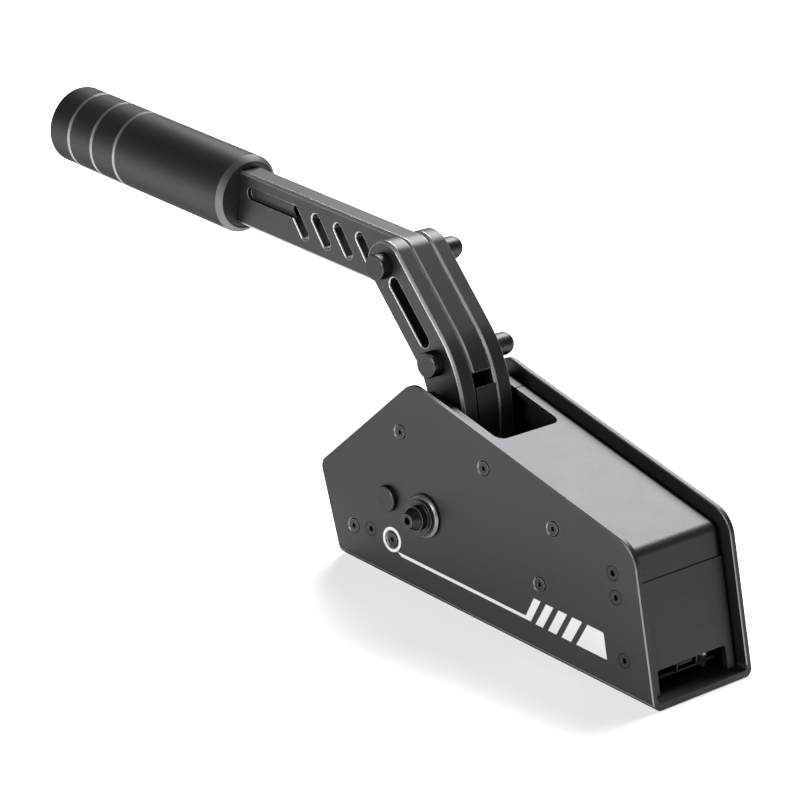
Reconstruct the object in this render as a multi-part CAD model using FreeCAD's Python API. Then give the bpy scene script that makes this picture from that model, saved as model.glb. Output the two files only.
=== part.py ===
import FreeCAD, Part
import math
import os

# Sim racing handbrake, in millimetres.
# X runs from the grip end (minus) to the cable end (plus), Y goes across, Z is up.
# The origin is the middle of the flat base, in the plane of its underside.
# Pulling the grip up turns the lever about the pivot axle, and its roller pushes the plunger.

V = FreeCAD.Vector

# Housing channel, seen from the side
base_length = 195.0
rear_knee_out = 17.1
rear_knee_z = 40.1
peak_x = -60.7
peak_z = 96.3
front_knee_x = 76.8
front_knee_z = 68.2
rear_foot_radius = 0.6
rear_knee_radius = 5.0
peak_radius = 10.0
front_knee_radius = 15.0
front_foot_radius = 0.6

# Housing channel, seen from the end
housing_width = 62.0
wall = 3.0
bend_outer_radius = 5.0
bend_inner_radius = 2.0
rim_outer_bevel = 0.5
rim_inner_bevel = 0.4

# Covers that close the channel
cover_recess = 5.0
cover_thick = 2.5
cover_gap = 0.2
cover_fold_radius = 5.5
top_edge_radius = 5.0
panel_edge_radius = 2.6
flange_depth = 15.0
cover_break_x = -44.5
cover_split_z = 50.5
cover_joint_gap = 0.5
slot_width = 37.9
slot_front_x = -15.5
slot_rear_x = -69.5
slot_corner_radius = 4.5
cable_opening_width = 42.6
cable_opening_top_z = 13.5
cable_opening_radius = 1.5

# Fasteners
big_head_radius = 3.67
big_head_depth = 2.2
big_shank_radius = 2.0
big_screw_length = 12.0
big_key_flats = 2.5
small_head_radius = 3.0
small_head_depth = 1.6
small_shank_radius = 1.5
small_screw_length = 9.0
small_key_flats = 2.0
key_depth_share = 0.8
screw_gap = 0.06
nut_wall = 1.3
nut_length = 4.5

# Side screws, as x and z on the left and on the right wall
rear_cover_screw = (-65.0, 71.5)
top_cover_screw = (-12.5, 72.7)
block_screw_upper = (30.6, 60.2)
block_screw_lower = (25.9, 32.4)

# Side screws near an end, as the distance in from the channel's sloping end and z
foot_rear_in_z = (14.856, 17.25)
foot_middle_in_z = (27.001, 19.7)
foot_front_in_z = (40.741, 19.56)
cover_front_in_z = (14.753, 53.2)
panel_upper_in_z = (14.718, 43.1)
panel_lower_in_z = (14.54, 17.0)

# Pivot
pivot_x = -46.1
pivot_z = 38.2
axle_radius = 4.5
axle_running_gap = 0.05
axle_press_gap = 0.02
bearing_radius = 7.0
bearing_flange_radius = 10.1
bearing_flange_out = 2.2
bearing_bevel = 1.0
collar_gap = 0.1
collar_radius = 7.6
collar_thick = 0.8
collar_hub_radius = 5.7
collar_hub_out = 6.5
axle_tip_base_radius = 5.2
axle_tip_end_radius = 3.2
axle_tip_out = 10.6
axle_key_flats = 3.5
axle_key_depth = 5.0
axle_nut_flats = 12.0
axle_nut_length = 5.5
arm_spacer_radius = 8.5

# Rest stop
stop_x = -69.4
stop_z = 38.2
stop_rod_radius = 4.0
stop_head_radius = 6.0
stop_head_out = 2.5
stop_head_bevel = 0.4
stop_nut_bore_depth = 1.5
bumper_radius = 7.0
bumper_length = 13.0
sleeve_radius = 5.5
contact_gap = 0.3

# Lever, which is one band of constant width: up from the pivot, then bent back to the top bolt
arm_thick = 9.5
middle_thick = 12.0
band_half_width = 11.3
arm_lean_deg = 8.6
top_bolt_x = -97.8
top_bolt_z = 136.3
bottom_bolt_x = -61.4
bottom_bolt_z = 101.9
band_bend_radius = 50.0
arm_bevel = 1.1
arm_slot_width = 5.8
arm_slot_bevel = 0.5
arm_slot_from_top = 7.1
arm_slot_to_bottom = 8.2

# Bolts through the arms
bolt_head_radius = 5.9
bolt_head_length = 6.0
bolt_shank_radius = 3.0
bolt_hole_gap = 0.05
bolt_bevel = 0.4
washer_radius = 6.6
washer_thick = 1.2
clamp_nut_length = 14.2
clamp_nut_radius = 5.3
clamp_nut_dome = 4.8
clamp_nut_bore = 8.0

# Grip bar, whose middle line runs below the top bolt
bar_above_bolts = 11.0
bar_below_bolts = 14.7
bar_end_gap = 6.2
bar_inner_corner_radius = 8.0
bar_bevel = 1.2
bar_end_past_bolt = 11.6
bar_slot_count = 4
bar_slot_first_x = -164.3
bar_slot_pitch = 14.75
bar_slot_reach = 12.4
bar_slot_width = 4.8
bar_slot_lean_deg = 41.3
bar_slot_bevel = 0.5
bar_pocket_rear_x = -197.3
bar_pocket_front_x = -168.5
bar_pocket_z_above = 4.1
bar_pocket_width = 6.3
bar_pocket_depth = 2.4

# Grip
grip_radius = 18.7
grip_wall = 2.9
grip_near_x = -205.8
grip_length = 126.8
grip_near_bevel = 2.6
grip_far_round = 3.5
grip_end_thick = 6.0
grip_groove_count = 3
grip_groove_first = 16.2
grip_groove_pitch = 16.9
grip_groove_half_width = 1.1
grip_groove_depth = 1.1
bushing_recess = 0.5
bushing_length = 16.0
bushing_gap = 0.1

# Block between the arms
pivot_block_past_bar = 6.3
fork_arm = 22.0
fork_half_height = 11.5
heel_thick = 9.0
heel_rear_past_stop = 5.5

# Load train
lever_travel_deg = 22.0
roller_radius = 6.5
roller_width = 5.4
roller_pin_radius = 2.5
roller_running_gap = 0.05
fork_gap = 0.3
nose_radius = 5.2
nose_length = 13.0
plunger_flange_radius = 12.0
plunger_flange_thick = 4.0
rod_radius = 3.0
rod_past_nut = 3.0
rod_gap = 0.25
rod_running_gap = 0.05
spring_outer_radius = 11.0
spring_wire = 2.8
end_stop_radius = 7.0
load_cell_radius = 11.5
load_cell_thick = 8.0
load_cell_boss = 5.0
block_rear_x = 20.0
block_length = 17.0
block_low_z = 24.0
block_step_z = 46.0
block_high_z = 67.0
block_recess_depth = 6.0
block_recess_gap = 0.5
bush_radius = 5.0
rebound_washer_radius = 6.5
rebound_washer_thick = 2.0
retaining_nut_flats = 10.0
retaining_nut_thick = 5.0

# Electronics
board_from_front = 13.5
board_length = 32.0
board_width = 40.0
board_thick = 1.6
board_lift = 3.0
board_post_inset = 4.0
board_post_radius = 2.6
board_screw_radius = 1.2
board_screw_head_radius = 2.4
board_screw_head_thick = 1.6
board_screw_key_flats = 1.5
chip_size = 9.0
chip_thick = 1.2
socket_length = 12.0
socket_width = 13.0
socket_top_gap = 0.3
socket_shell = 0.8
socket_mouth_depth = 9.0
socket_tongue_thick = 1.2
socket_past_board = 2.0
cable_radius = 1.0

# Base mounting
mount_from_end = 52.5
mount_pitch_y = 30.0
mount_hole_radius = 3.0
base_nut_shank_radius = 4.2
base_nut_radius = 5.5
base_nut_height = 5.0
foot_block_reach = 39.5
foot_block_high_z = 25.5

# Worked out from the sizes above
half_width = housing_width / 2
inner_half = half_width - wall
cover_half = inner_half - cover_gap
flange_inner = cover_half - cover_thick
stack_half = middle_thick / 2 + arm_thick
middle_half = middle_thick / 2
bar_half = (bar_above_bolts + bar_below_bolts) / 2
grip_z = top_bolt_z + bar_above_bolts - bar_half
grip_far_x = grip_near_x - grip_length
bar_rear_x = grip_far_x + grip_end_thick + bar_end_gap
half_travel = math.radians(lever_travel_deg / 2)
roller_x = pivot_x - fork_arm * math.sin(half_travel)
roller_z = pivot_z + fork_arm * math.cos(half_travel)
rod_z = pivot_z + fork_arm * (1 + math.cos(half_travel)) / 2
plunger_travel = 2 * fork_arm * math.sin(half_travel)
nose_rear_x = roller_x + roller_radius + contact_gap
flange_rear_x = nose_rear_x + nose_length
flange_front_x = flange_rear_x + plunger_flange_thick
end_stop_rear_x = flange_front_x + plunger_travel + contact_gap
load_cell_rear_x = block_rear_x - load_cell_thick
block_front_x = block_rear_x + block_length
recess_x = block_front_x - block_recess_depth
nut_rear_x = recess_x + rebound_washer_thick + contact_gap
rod_front_x = nut_rear_x + retaining_nut_thick + rod_past_nut
board_front_x = base_length / 2 - board_from_front
board_rear_x = board_front_x - board_length
foot_block_front_x = foot_block_reach - base_length / 2
mount_pitch_x = base_length - 2 * mount_from_end
board_low_z = wall + board_lift
socket_height = cable_opening_top_z - socket_top_gap - board_low_z - board_thick
far = 2 * base_length
above = peak_z + 20


def from_rear(place):
    """A point at a distance in from the channel's rear end, at its own height."""
    inset, z = place
    return (inset - base_length / 2 - rear_knee_out * z / rear_knee_z, z)


def from_front(place):
    """A point at a distance in from the channel's front end, at its own height."""
    inset, z = place
    return (base_length / 2 + (front_knee_x - base_length / 2) * z / front_knee_z - inset, z)


foot_screw_rear = from_rear(foot_rear_in_z)
foot_screw_middle = from_rear(foot_middle_in_z)
foot_screw_front = from_rear(foot_front_in_z)
cover_front_screw = from_front(cover_front_in_z)
panel_upper_screw = from_front(panel_upper_in_z)
panel_lower_screw = from_front(panel_lower_in_z)

big_screw_places = [
    rear_cover_screw,
    top_cover_screw,
    block_screw_upper,
    block_screw_lower,
    foot_screw_rear,
    foot_screw_front,
]
small_screw_places = [foot_screw_middle, cover_front_screw, panel_upper_screw, panel_lower_screw]

# Corners of the channel's side outline, each with its radius
rear_foot = (-base_length / 2, 0.0, rear_foot_radius)
rear_knee = (-base_length / 2 - rear_knee_out, rear_knee_z, rear_knee_radius)
peak = (peak_x, peak_z, peak_radius)
front_knee = (front_knee_x, front_knee_z, front_knee_radius)
front_foot = (base_length / 2, 0.0, front_foot_radius)
side_profile = [rear_foot, rear_knee, peak, front_knee, front_foot]

os.makedirs("parts", exist_ok=True)


def save(name, shape):
    shape.exportStep("parts/" + name + ".step")
    print(name, "solids", len(shape.Solids), "valid", shape.isValid(), "volume", round(shape.Volume, 1))


def box(x0, x1, y0, y1, z0, z1):
    return Part.makeBox(x1 - x0, y1 - y0, z1 - z0, V(x0, y0, z0))


def across(x, z, radius, y0, y1):
    """Cylinder along Y between two places, given in either order."""
    return Part.makeCylinder(radius, abs(y1 - y0), V(x, min(y0, y1), z), V(0, 1, 0))


def lengthwise(radius, x0, x1, z):
    return Part.makeCylinder(radius, x1 - x0, V(x0, 0, z), V(1, 0, 0))


def upright(x, y, radius, z0, z1):
    return Part.makeCylinder(radius, z1 - z0, V(x, y, z0), V(0, 0, 1))


def cone_across(x, z, radius0, radius1, y0, y1):
    direction = V(0, 1, 0) if y1 > y0 else V(0, -1, 0)
    return Part.makeCone(radius0, radius1, abs(y1 - y0), V(x, y0, z), direction)


def hexagon(centre, along, flats, depth):
    """Hexagonal bar from a centre point, with the given width across its flats."""
    corner_radius = flats / math.sqrt(3)
    side = V(0, 0, 1) if abs(along.z) < 0.9 else V(1, 0, 0)
    other = along.cross(side)
    corners = []
    for step in range(6):
        angle = math.radians(60 * step)
        offset = side * math.cos(angle) + other * math.sin(angle)
        corners.append(centre + offset * corner_radius)
    return Part.Face(Part.makePolygon(corners + corners[:1])).extrude(along * depth)


def corner_arc(before, corner, after, radius):
    """Start, middle and end of the arc that rounds one corner of an outline."""
    point = V(corner[0], 0, corner[1])
    to_before = V(before[0] - corner[0], 0, before[1] - corner[1]).normalize()
    to_after = V(after[0] - corner[0], 0, after[1] - corner[1]).normalize()
    half_angle = to_before.getAngle(to_after) / 2
    reach = radius / math.tan(half_angle)
    inwards = (to_before + to_after).normalize()
    middle = point + inwards * (radius / math.sin(half_angle) - radius)
    return point + to_before * reach, middle, point + to_after * reach


def rounded_wire(points, y=0.0):
    """Closed wire in a plane across Y, through points given as x, z and corner radius."""
    count = len(points)
    cuts = []
    for i, (x, z, radius) in enumerate(points):
        if radius > 0:
            cuts.append(corner_arc(points[i - 1], (x, z), points[(i + 1) % count], radius))
        else:
            cuts.append((V(x, 0, z), None, V(x, 0, z)))
    edges = []
    for i, (start, middle, end) in enumerate(cuts):
        if middle is not None:
            edges.append(Part.Arc(start, middle, end).toShape())
        following = cuts[(i + 1) % count][0]
        if end.distanceToPoint(following) > 1e-6:
            edges.append(Part.LineSegment(end, following).toShape())
    wire = Part.Wire(edges)
    wire.translate(V(0, y, 0))
    return wire


def prism(points, y0, y1):
    return Part.Face(rounded_wire(points, y0)).extrude(V(0, y1 - y0, 0))


def inset(points, distance):
    """The same outline moved inwards by one distance, with corner radii that stay concentric."""
    count = len(points)
    lines = []
    for i in range(count):
        x0, z0, _ = points[i]
        x1, z1, _ = points[(i + 1) % count]
        length = math.hypot(x1 - x0, z1 - z0)
        shift_x = distance * (z1 - z0) / length
        shift_z = -distance * (x1 - x0) / length
        lines.append((x0 + shift_x, z0 + shift_z, x1 - x0, z1 - z0))
    moved = []
    for i in range(count):
        ax, az, adx, adz = lines[i - 1]
        bx, bz, bdx, bdz = lines[i]
        cross = adx * bdz - adz * bdx
        along = ((bx - ax) * bdz - (bz - az) * bdx) / cross
        moved.append((ax + along * adx, az + along * adz, max(points[i][2] - distance, 1.0)))
    return moved


def folded(points, radius):
    """The same outline with one radius at every corner."""
    return [(x, z, radius) for x, z, _ in points]


def trough(half, low_z, radius):
    """Long bar along X with its two lower edges rounded."""
    bar = box(-far, far, -half, half, low_z, above)
    edges = [e for e in bar.Edges if e.BoundBox.XLength > far and e.BoundBox.ZMax < low_z + 0.1]
    return bar.makeFillet(radius, edges)


def edges_at_y(shape, places):
    """Edges that lie in one of the given planes across Y."""
    found = []
    for edge in shape.Edges:
        low, high = edge.BoundBox.YMin, edge.BoundBox.YMax
        if high - low < 1e-3 and any(abs(low - place) < 1e-3 for place in places):
            found.append(edge)
    return found


def edges_at_x(shape, place):
    return [e for e in shape.Edges if abs(e.BoundBox.XMin - place) < 1e-3 and e.BoundBox.XLength < 1e-3]


def open_outline():
    """The channel's outline with its rear and front sides carried on far below the base."""
    down = -peak_z
    rear_run = (rear_foot[0] - rear_knee[0]) / (rear_foot[1] - rear_knee[1])
    front_run = (front_foot[0] - front_knee[0]) / (front_foot[1] - front_knee[1])
    return [
        (rear_foot[0] + rear_run * down, down, 1.0),
        rear_knee,
        peak,
        front_knee,
        (front_foot[0] + front_run * down, down, 1.0),
    ]


def screw(x, z, side, big):
    """Countersunk screw, flush with one side wall. Side is -1 for left and 1 for right."""
    head_radius = big_head_radius if big else small_head_radius
    head_depth = big_head_depth if big else small_head_depth
    shank_radius = big_shank_radius if big else small_shank_radius
    length = big_screw_length if big else small_screw_length
    flats = big_key_flats if big else small_key_flats
    outer = side * half_width
    head = cone_across(x, z, head_radius, shank_radius, outer, outer - side * head_depth)
    shank = across(x, z, shank_radius, outer, outer - side * length)
    key = hexagon(V(x, outer, z), V(0, -side, 0), flats, head_depth * key_depth_share)
    return head.fuse(shank).cut(key).removeSplitter()


def screw_hole(x, z, side, big):
    head_radius = (big_head_radius if big else small_head_radius) + screw_gap
    head_depth = big_head_depth if big else small_head_depth
    shank_radius = (big_shank_radius if big else small_shank_radius) + screw_gap
    length = big_screw_length if big else small_screw_length
    outer = side * half_width
    head = cone_across(x, z, head_radius, shank_radius, outer, outer - side * head_depth)
    return head.fuse(across(x, z, shank_radius, outer, outer - side * (length + 1)))


def screw_holes():
    holes = []
    for side in (-1, 1):
        holes += [screw_hole(x, z, side, True) for x, z in big_screw_places]
        holes += [screw_hole(x, z, side, False) for x, z in small_screw_places]
    return holes


def side_screws(side):
    screws = [screw(x, z, side, True) for x, z in big_screw_places]
    screws += [screw(x, z, side, False) for x, z in small_screw_places]
    return Part.makeCompound(screws)


def mount_places():
    return [
        (x, y)
        for x in (-mount_pitch_x / 2, mount_pitch_x / 2)
        for y in (-mount_pitch_y / 2, mount_pitch_y / 2)
    ]


def inner_rim_wedge(side):
    """What a bevel takes off the inner edge of one side wall, above the bend."""
    near = side * inner_half
    deep = side * (inner_half + rim_inner_bevel)
    narrow = rounded_wire(inset(side_profile, rim_inner_bevel), near)
    wide = rounded_wire(side_profile, deep)
    core = Part.makeLoft([narrow, wide], True, True)
    slab = prism(side_profile, min(near, deep), max(near, deep))
    above_bend = box(-far, far, min(near, deep), max(near, deep), wall + bend_inner_radius, above)
    return slab.cut(core).common(above_bend)


def make_channel_shell():
    block = prism(side_profile, -half_width, half_width)
    block = block.makeChamfer(rim_outer_bevel, edges_at_y(block, (-half_width, half_width)))
    shell = block.common(trough(half_width, 0.0, bend_outer_radius))
    cuts = [trough(inner_half, wall, bend_inner_radius), inner_rim_wedge(-1), inner_rim_wedge(1)]
    cuts += screw_holes()
    cuts.append(across(pivot_x, pivot_z, bearing_radius, -half_width - 1, half_width + 1))
    cuts.append(across(stop_x, stop_z, stop_rod_radius, -half_width - 1, half_width + 1))
    for x, y in mount_places():
        cuts.append(upright(x, y, base_nut_shank_radius, -1, wall + 1))
    return shell.cut(cuts).removeSplitter()


def cover_band(edge_radius):
    """Bent sheet that follows the channel's outline inside it, with its flanges along the walls."""
    outline = open_outline()
    outer = prism(folded(inset(outline, cover_recess), cover_fold_radius), -cover_half, cover_half)
    outer = outer.makeFillet(edge_radius, edges_at_y(outer, (-cover_half, cover_half)))
    inner_outline = folded(inset(outline, cover_recess + cover_thick), cover_fold_radius - cover_thick)
    inner = prism(inner_outline, -flange_inner, flange_inner)
    inner_radius = max(edge_radius - cover_thick, 0.05)
    inner = inner.makeFillet(inner_radius, edges_at_y(inner, (-flange_inner, flange_inner)))
    deep = prism(inset(outline, cover_recess + flange_depth), -half_width, half_width)
    above_bend = trough(cover_half, wall + cover_gap, bend_inner_radius)
    return outer.common(above_bend).cut([inner, deep])


def lever_slot():
    half = slot_width / 2
    hole = box(slot_rear_x, slot_front_x, -half, half, pivot_z, above)
    corners = [e for e in hole.Edges if e.BoundBox.ZLength > 1]
    return hole.makeFillet(slot_corner_radius, corners)


def make_top_cover():
    joint = cover_joint_gap / 2
    zone = box(cover_break_x + joint, far, -half_width, half_width, cover_split_z + joint, above)
    return cover_band(top_edge_radius).common(zone).cut([lever_slot()] + screw_holes())


def make_rear_cover():
    joint = cover_joint_gap / 2
    zone = box(-far, cover_break_x - joint, -half_width, half_width, 0, above)
    return cover_band(top_edge_radius).common(zone).cut([lever_slot()] + screw_holes())


def make_front_panel():
    joint = cover_joint_gap / 2
    zone = box(0, far, -half_width, half_width, 0, cover_split_z - joint)
    opening_half = cable_opening_width / 2
    opening = box(0, far, -opening_half, opening_half, -1, cable_opening_top_z)
    corners = [e for e in opening.Edges if e.BoundBox.XLength > 1 and e.BoundBox.ZMin > 0]
    opening = opening.makeFillet(cable_opening_radius, corners)
    return cover_band(panel_edge_radius).common(zone).cut([opening] + screw_holes())


def cover_nut(x, z, side, big):
    shank_radius = big_shank_radius if big else small_shank_radius
    start = side * flange_inner
    end = start - side * nut_length
    body = across(x, z, shank_radius + nut_wall, start, end)
    return body.cut(across(x, z, shank_radius + screw_gap, start + side, end - side))


def make_cover_nuts():
    nuts = []
    for side in (-1, 1):
        nuts += [cover_nut(x, z, side, True) for x, z in (rear_cover_screw, top_cover_screw)]
        for x, z in (cover_front_screw, panel_upper_screw, panel_lower_screw):
            nuts.append(cover_nut(x, z, side, False))
    return Part.makeCompound(nuts)


def make_pivot_bearing(side):
    """Plain bearing in a side wall, with a bevelled flange on the outside."""
    outer = side * half_width
    face = side * (half_width + bearing_flange_out)
    body = across(pivot_x, pivot_z, bearing_radius, side * inner_half, outer)
    flange = across(pivot_x, pivot_z, bearing_flange_radius, outer, face)
    flange = flange.makeChamfer(bearing_bevel, edges_at_y(flange, (face,)))
    bore = across(pivot_x, pivot_z, axle_radius + axle_running_gap, 0, 2 * face)
    return body.fuse(flange).cut(bore).removeSplitter()


def make_axle_collars():
    """Collar on each end of the axle: a thin disc beside the bearing's flange, then a hub."""
    collars = []
    for side in (-1, 1):
        start = side * (half_width + bearing_flange_out + collar_gap)
        disc = across(pivot_x, pivot_z, collar_radius, start, start + side * collar_thick)
        hub = across(pivot_x, pivot_z, collar_hub_radius, start, side * (half_width + collar_hub_out))
        bore = across(pivot_x, pivot_z, axle_radius, 0, side * far)
        collars.append(disc.fuse(hub).cut(bore).removeSplitter())
    return Part.makeCompound(collars)


def make_pivot_axle():
    """Axle with a hexagon-socket cone for a head on the left, and a plain end in its nut on the right."""
    seat = half_width + collar_hub_out
    tip = half_width + axle_tip_out
    end = seat + axle_nut_length
    body = across(pivot_x, pivot_z, axle_radius, -seat, end)
    head = cone_across(pivot_x, pivot_z, axle_tip_base_radius, axle_tip_end_radius, -seat, -tip)
    key = hexagon(V(pivot_x, -tip, pivot_z), V(0, 1, 0), axle_key_flats, axle_key_depth)
    return body.fuse(head).cut(key).removeSplitter()


def make_axle_nut():
    seat = half_width + collar_hub_out
    body = hexagon(V(pivot_x, seat, pivot_z), V(0, 1, 0), axle_nut_flats, axle_nut_length)
    trim = cone_across(
        pivot_x, pivot_z, axle_nut_flats / 2 + axle_nut_length, axle_nut_flats / 2, seat, seat + axle_nut_length
    )
    return body.common(trim).cut(across(pivot_x, pivot_z, axle_radius, 0, far))


def make_arm_spacers():
    """Tubes on the axle that keep the arms off the side walls, a running gap short of each wall."""
    tubes = []
    for side in (-1, 1):
        start = side * stack_half
        end = side * (inner_half - contact_gap)
        tube = across(pivot_x, pivot_z, arm_spacer_radius, start, end)
        tubes.append(tube.cut(across(pivot_x, pivot_z, axle_radius, 0, 2 * end)))
    return Part.makeCompound(tubes)


def make_stop_rod():
    """Cross rod with its disc head on the left."""
    face = half_width + stop_head_out
    head = across(stop_x, stop_z, stop_head_radius, -face, -half_width)
    head = head.makeChamfer(stop_head_bevel, edges_at_y(head, (-face,)))
    rod = across(stop_x, stop_z, stop_rod_radius, -half_width, half_width + stop_nut_bore_depth)
    return head.fuse(rod).removeSplitter()


def make_stop_rod_nut():
    face = half_width + stop_head_out
    body = across(stop_x, stop_z, stop_head_radius, half_width, face)
    body = body.makeChamfer(stop_head_bevel, edges_at_y(body, (face,)))
    return body.cut(across(stop_x, stop_z, stop_rod_radius, 0, half_width + stop_nut_bore_depth))


def make_stop_bumper():
    half = bumper_length / 2
    tube = across(stop_x, stop_z, bumper_radius, -half, half)
    return tube.cut(across(stop_x, stop_z, stop_rod_radius, -bumper_length, bumper_length))


def make_stop_rod_sleeves():
    """Tubes that keep the bumper in the middle of the stop rod."""
    sleeves = []
    for side in (-1, 1):
        tube = across(stop_x, stop_z, sleeve_radius, side * bumper_length / 2, side * inner_half)
        sleeves.append(tube.cut(across(stop_x, stop_z, stop_rod_radius, 0, side * half_width)))
    return Part.makeCompound(sleeves)


# Directions along the lever's two straight runs, towards the top bolt, and where the runs cross
upper_run = math.hypot(top_bolt_x - bottom_bolt_x, top_bolt_z - bottom_bolt_z)
upper_x = (top_bolt_x - bottom_bolt_x) / upper_run
upper_z = (top_bolt_z - bottom_bolt_z) / upper_run
lower_x = -math.sin(math.radians(arm_lean_deg))
lower_z = math.cos(math.radians(arm_lean_deg))
bend_turn = math.atan2(upper_z, upper_x) - math.atan2(lower_z, lower_x)
bend_cross = upper_x * lower_z - upper_z * lower_x
bend_along = ((pivot_x - top_bolt_x) * lower_z - (pivot_z - top_bolt_z) * lower_x) / bend_cross
bend_x = top_bolt_x + upper_x * bend_along
bend_z = top_bolt_z + upper_z * bend_along


def beside_upper(x, z, along, front):
    """Point at a distance along the upper run and another to its front, from a point."""
    return x + upper_x * along + upper_z * front, z + upper_z * along - upper_x * front


def beside_lower(x, z, along, front):
    return x + lower_x * along + lower_z * front, z + lower_z * along - lower_x * front


def bend_corner(front):
    """Where the two edges at one side of the lever's bend would meet."""
    middle = math.atan2(upper_z, upper_x) - bend_turn / 2 - math.pi / 2
    reach = front / math.cos(bend_turn / 2)
    return bend_x + math.cos(middle) * reach, bend_z + math.sin(middle) * reach


def lever_band():
    """Outline of the lever's band from its round lower end to its round top end."""
    half = band_half_width
    return [
        beside_lower(pivot_x, pivot_z, -half, -half) + (half,),
        bend_corner(-half) + (band_bend_radius - half,),
        beside_upper(top_bolt_x, top_bolt_z, half, -half) + (half,),
        beside_upper(top_bolt_x, top_bolt_z, half, half) + (half,),
        bend_corner(half) + (band_bend_radius + half,),
        beside_lower(pivot_x, pivot_z, -half, half) + (half,),
    ]


def beyond(distance, towards_pivot):
    """Everything past a plane square to the upper run, that far from the top bolt towards the pivot."""
    size = far
    slab = Part.makeBox(size, size, size, V(0, -size / 2, -size / 2))
    angle = math.degrees(math.atan2(upper_z, -upper_x))
    slab.rotate(V(0, 0, 0), V(0, 1, 0), angle if towards_pivot else angle + 180)
    x, z = beside_upper(top_bolt_x, top_bolt_z, -distance, 0)
    slab.translate(V(x, 0, z))
    return slab


def slanted_slot(x0, z0, x1, z1, width, y0, y1):
    """Slot across Y with round ends at two centres."""
    length = math.hypot(x1 - x0, z1 - z0)
    along_x = (x1 - x0) / length
    along_z = (z1 - z0) / length
    half = width / 2
    corners = []
    for x, z, along, across_by in ((x0, z0, -1, 1), (x1, z1, 1, 1), (x1, z1, 1, -1), (x0, z0, -1, -1)):
        corner_x = x + half * (along * along_x + across_by * along_z)
        corner_z = z + half * (along * along_z - across_by * along_x)
        corners.append((corner_x, corner_z, half))
    return prism(corners, y0, y1)


def bevelled_cut(shape, cutters, bevel, planes):
    """Cut slots and bevel their edges in the given planes."""
    cut = shape.cut(cutters)
    edges = []
    for edge in edges_at_y(cut, planes):
        for cutter in cutters:
            room = cutter.BoundBox
            room.enlarge(0.01)
            if room.isInside(edge.BoundBox):
                edges.append(edge)
                break
    return cut.makeChamfer(bevel, edges)


def bolt_holes(y0, y1):
    radius = bolt_shank_radius + bolt_hole_gap
    return [
        across(top_bolt_x, top_bolt_z, radius, y0, y1),
        across(bottom_bolt_x, bottom_bolt_z, radius, y0, y1),
    ]


def make_lever_arm(side):
    inner = side * middle_half
    outer = side * stack_half
    low, high = min(inner, outer), max(inner, outer)
    arm = prism(lever_band(), low, high)
    arm = arm.makeChamfer(arm_bevel, edges_at_y(arm, (inner, outer)))
    x0, z0 = beside_upper(top_bolt_x, top_bolt_z, -arm_slot_from_top - arm_slot_width / 2, 0)
    x1, z1 = beside_upper(bottom_bolt_x, bottom_bolt_z, arm_slot_to_bottom + arm_slot_width / 2, 0)
    slot = slanted_slot(x0, z0, x1, z1, arm_slot_width, low - 1, high + 1)
    arm = bevelled_cut(arm, [slot], arm_slot_bevel, (inner, outer))
    cuts = bolt_holes(low - 1, high + 1)
    cuts.append(across(pivot_x, pivot_z, axle_radius + axle_press_gap, low - 1, high + 1))
    cuts.append(across(roller_x, roller_z, roller_pin_radius, low - 1, high + 1))
    return arm.cut(cuts)


def make_pivot_block():
    """Block between the arms, with a fork for the roller and a heel that rests on the bumper."""
    bar_end = upper_run + bar_end_past_bolt
    body = prism(lever_band(), -middle_half, middle_half).common(beyond(bar_end + pivot_block_past_bar, True))
    heel_low = stop_z + bumper_radius + contact_gap
    heel = box(
        stop_x - heel_rear_past_stop, pivot_x, -middle_half, middle_half, heel_low, heel_low + heel_thick
    )
    body = body.fuse(heel).removeSplitter()
    fork = box(
        roller_x - roller_radius - fork_gap, far, -middle_half, middle_half,
        roller_z - fork_half_height, roller_z + fork_half_height,
    )
    cheek_inner = roller_width / 2 + fork_gap
    middle_gap = box(-far, far, -cheek_inner, cheek_inner, -above, above)
    front_room = box(roller_x + roller_pin_radius + 1, far, -middle_half, middle_half, -above, above)
    cuts = [
        fork.common(middle_gap),
        fork.common(front_room),
        across(pivot_x, pivot_z, axle_radius + axle_press_gap, -far, far),
        across(roller_x, roller_z, roller_pin_radius, -far, far),
    ]
    return body.cut(cuts).removeSplitter()


def make_push_roller():
    half = roller_width / 2
    body = across(roller_x, roller_z, roller_radius, -half, half)
    bore_radius = roller_pin_radius + roller_running_gap
    return body.cut(across(roller_x, roller_z, bore_radius, -roller_width, roller_width))


def make_roller_pin():
    return across(roller_x, roller_z, roller_pin_radius, -stack_half, stack_half)


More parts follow.
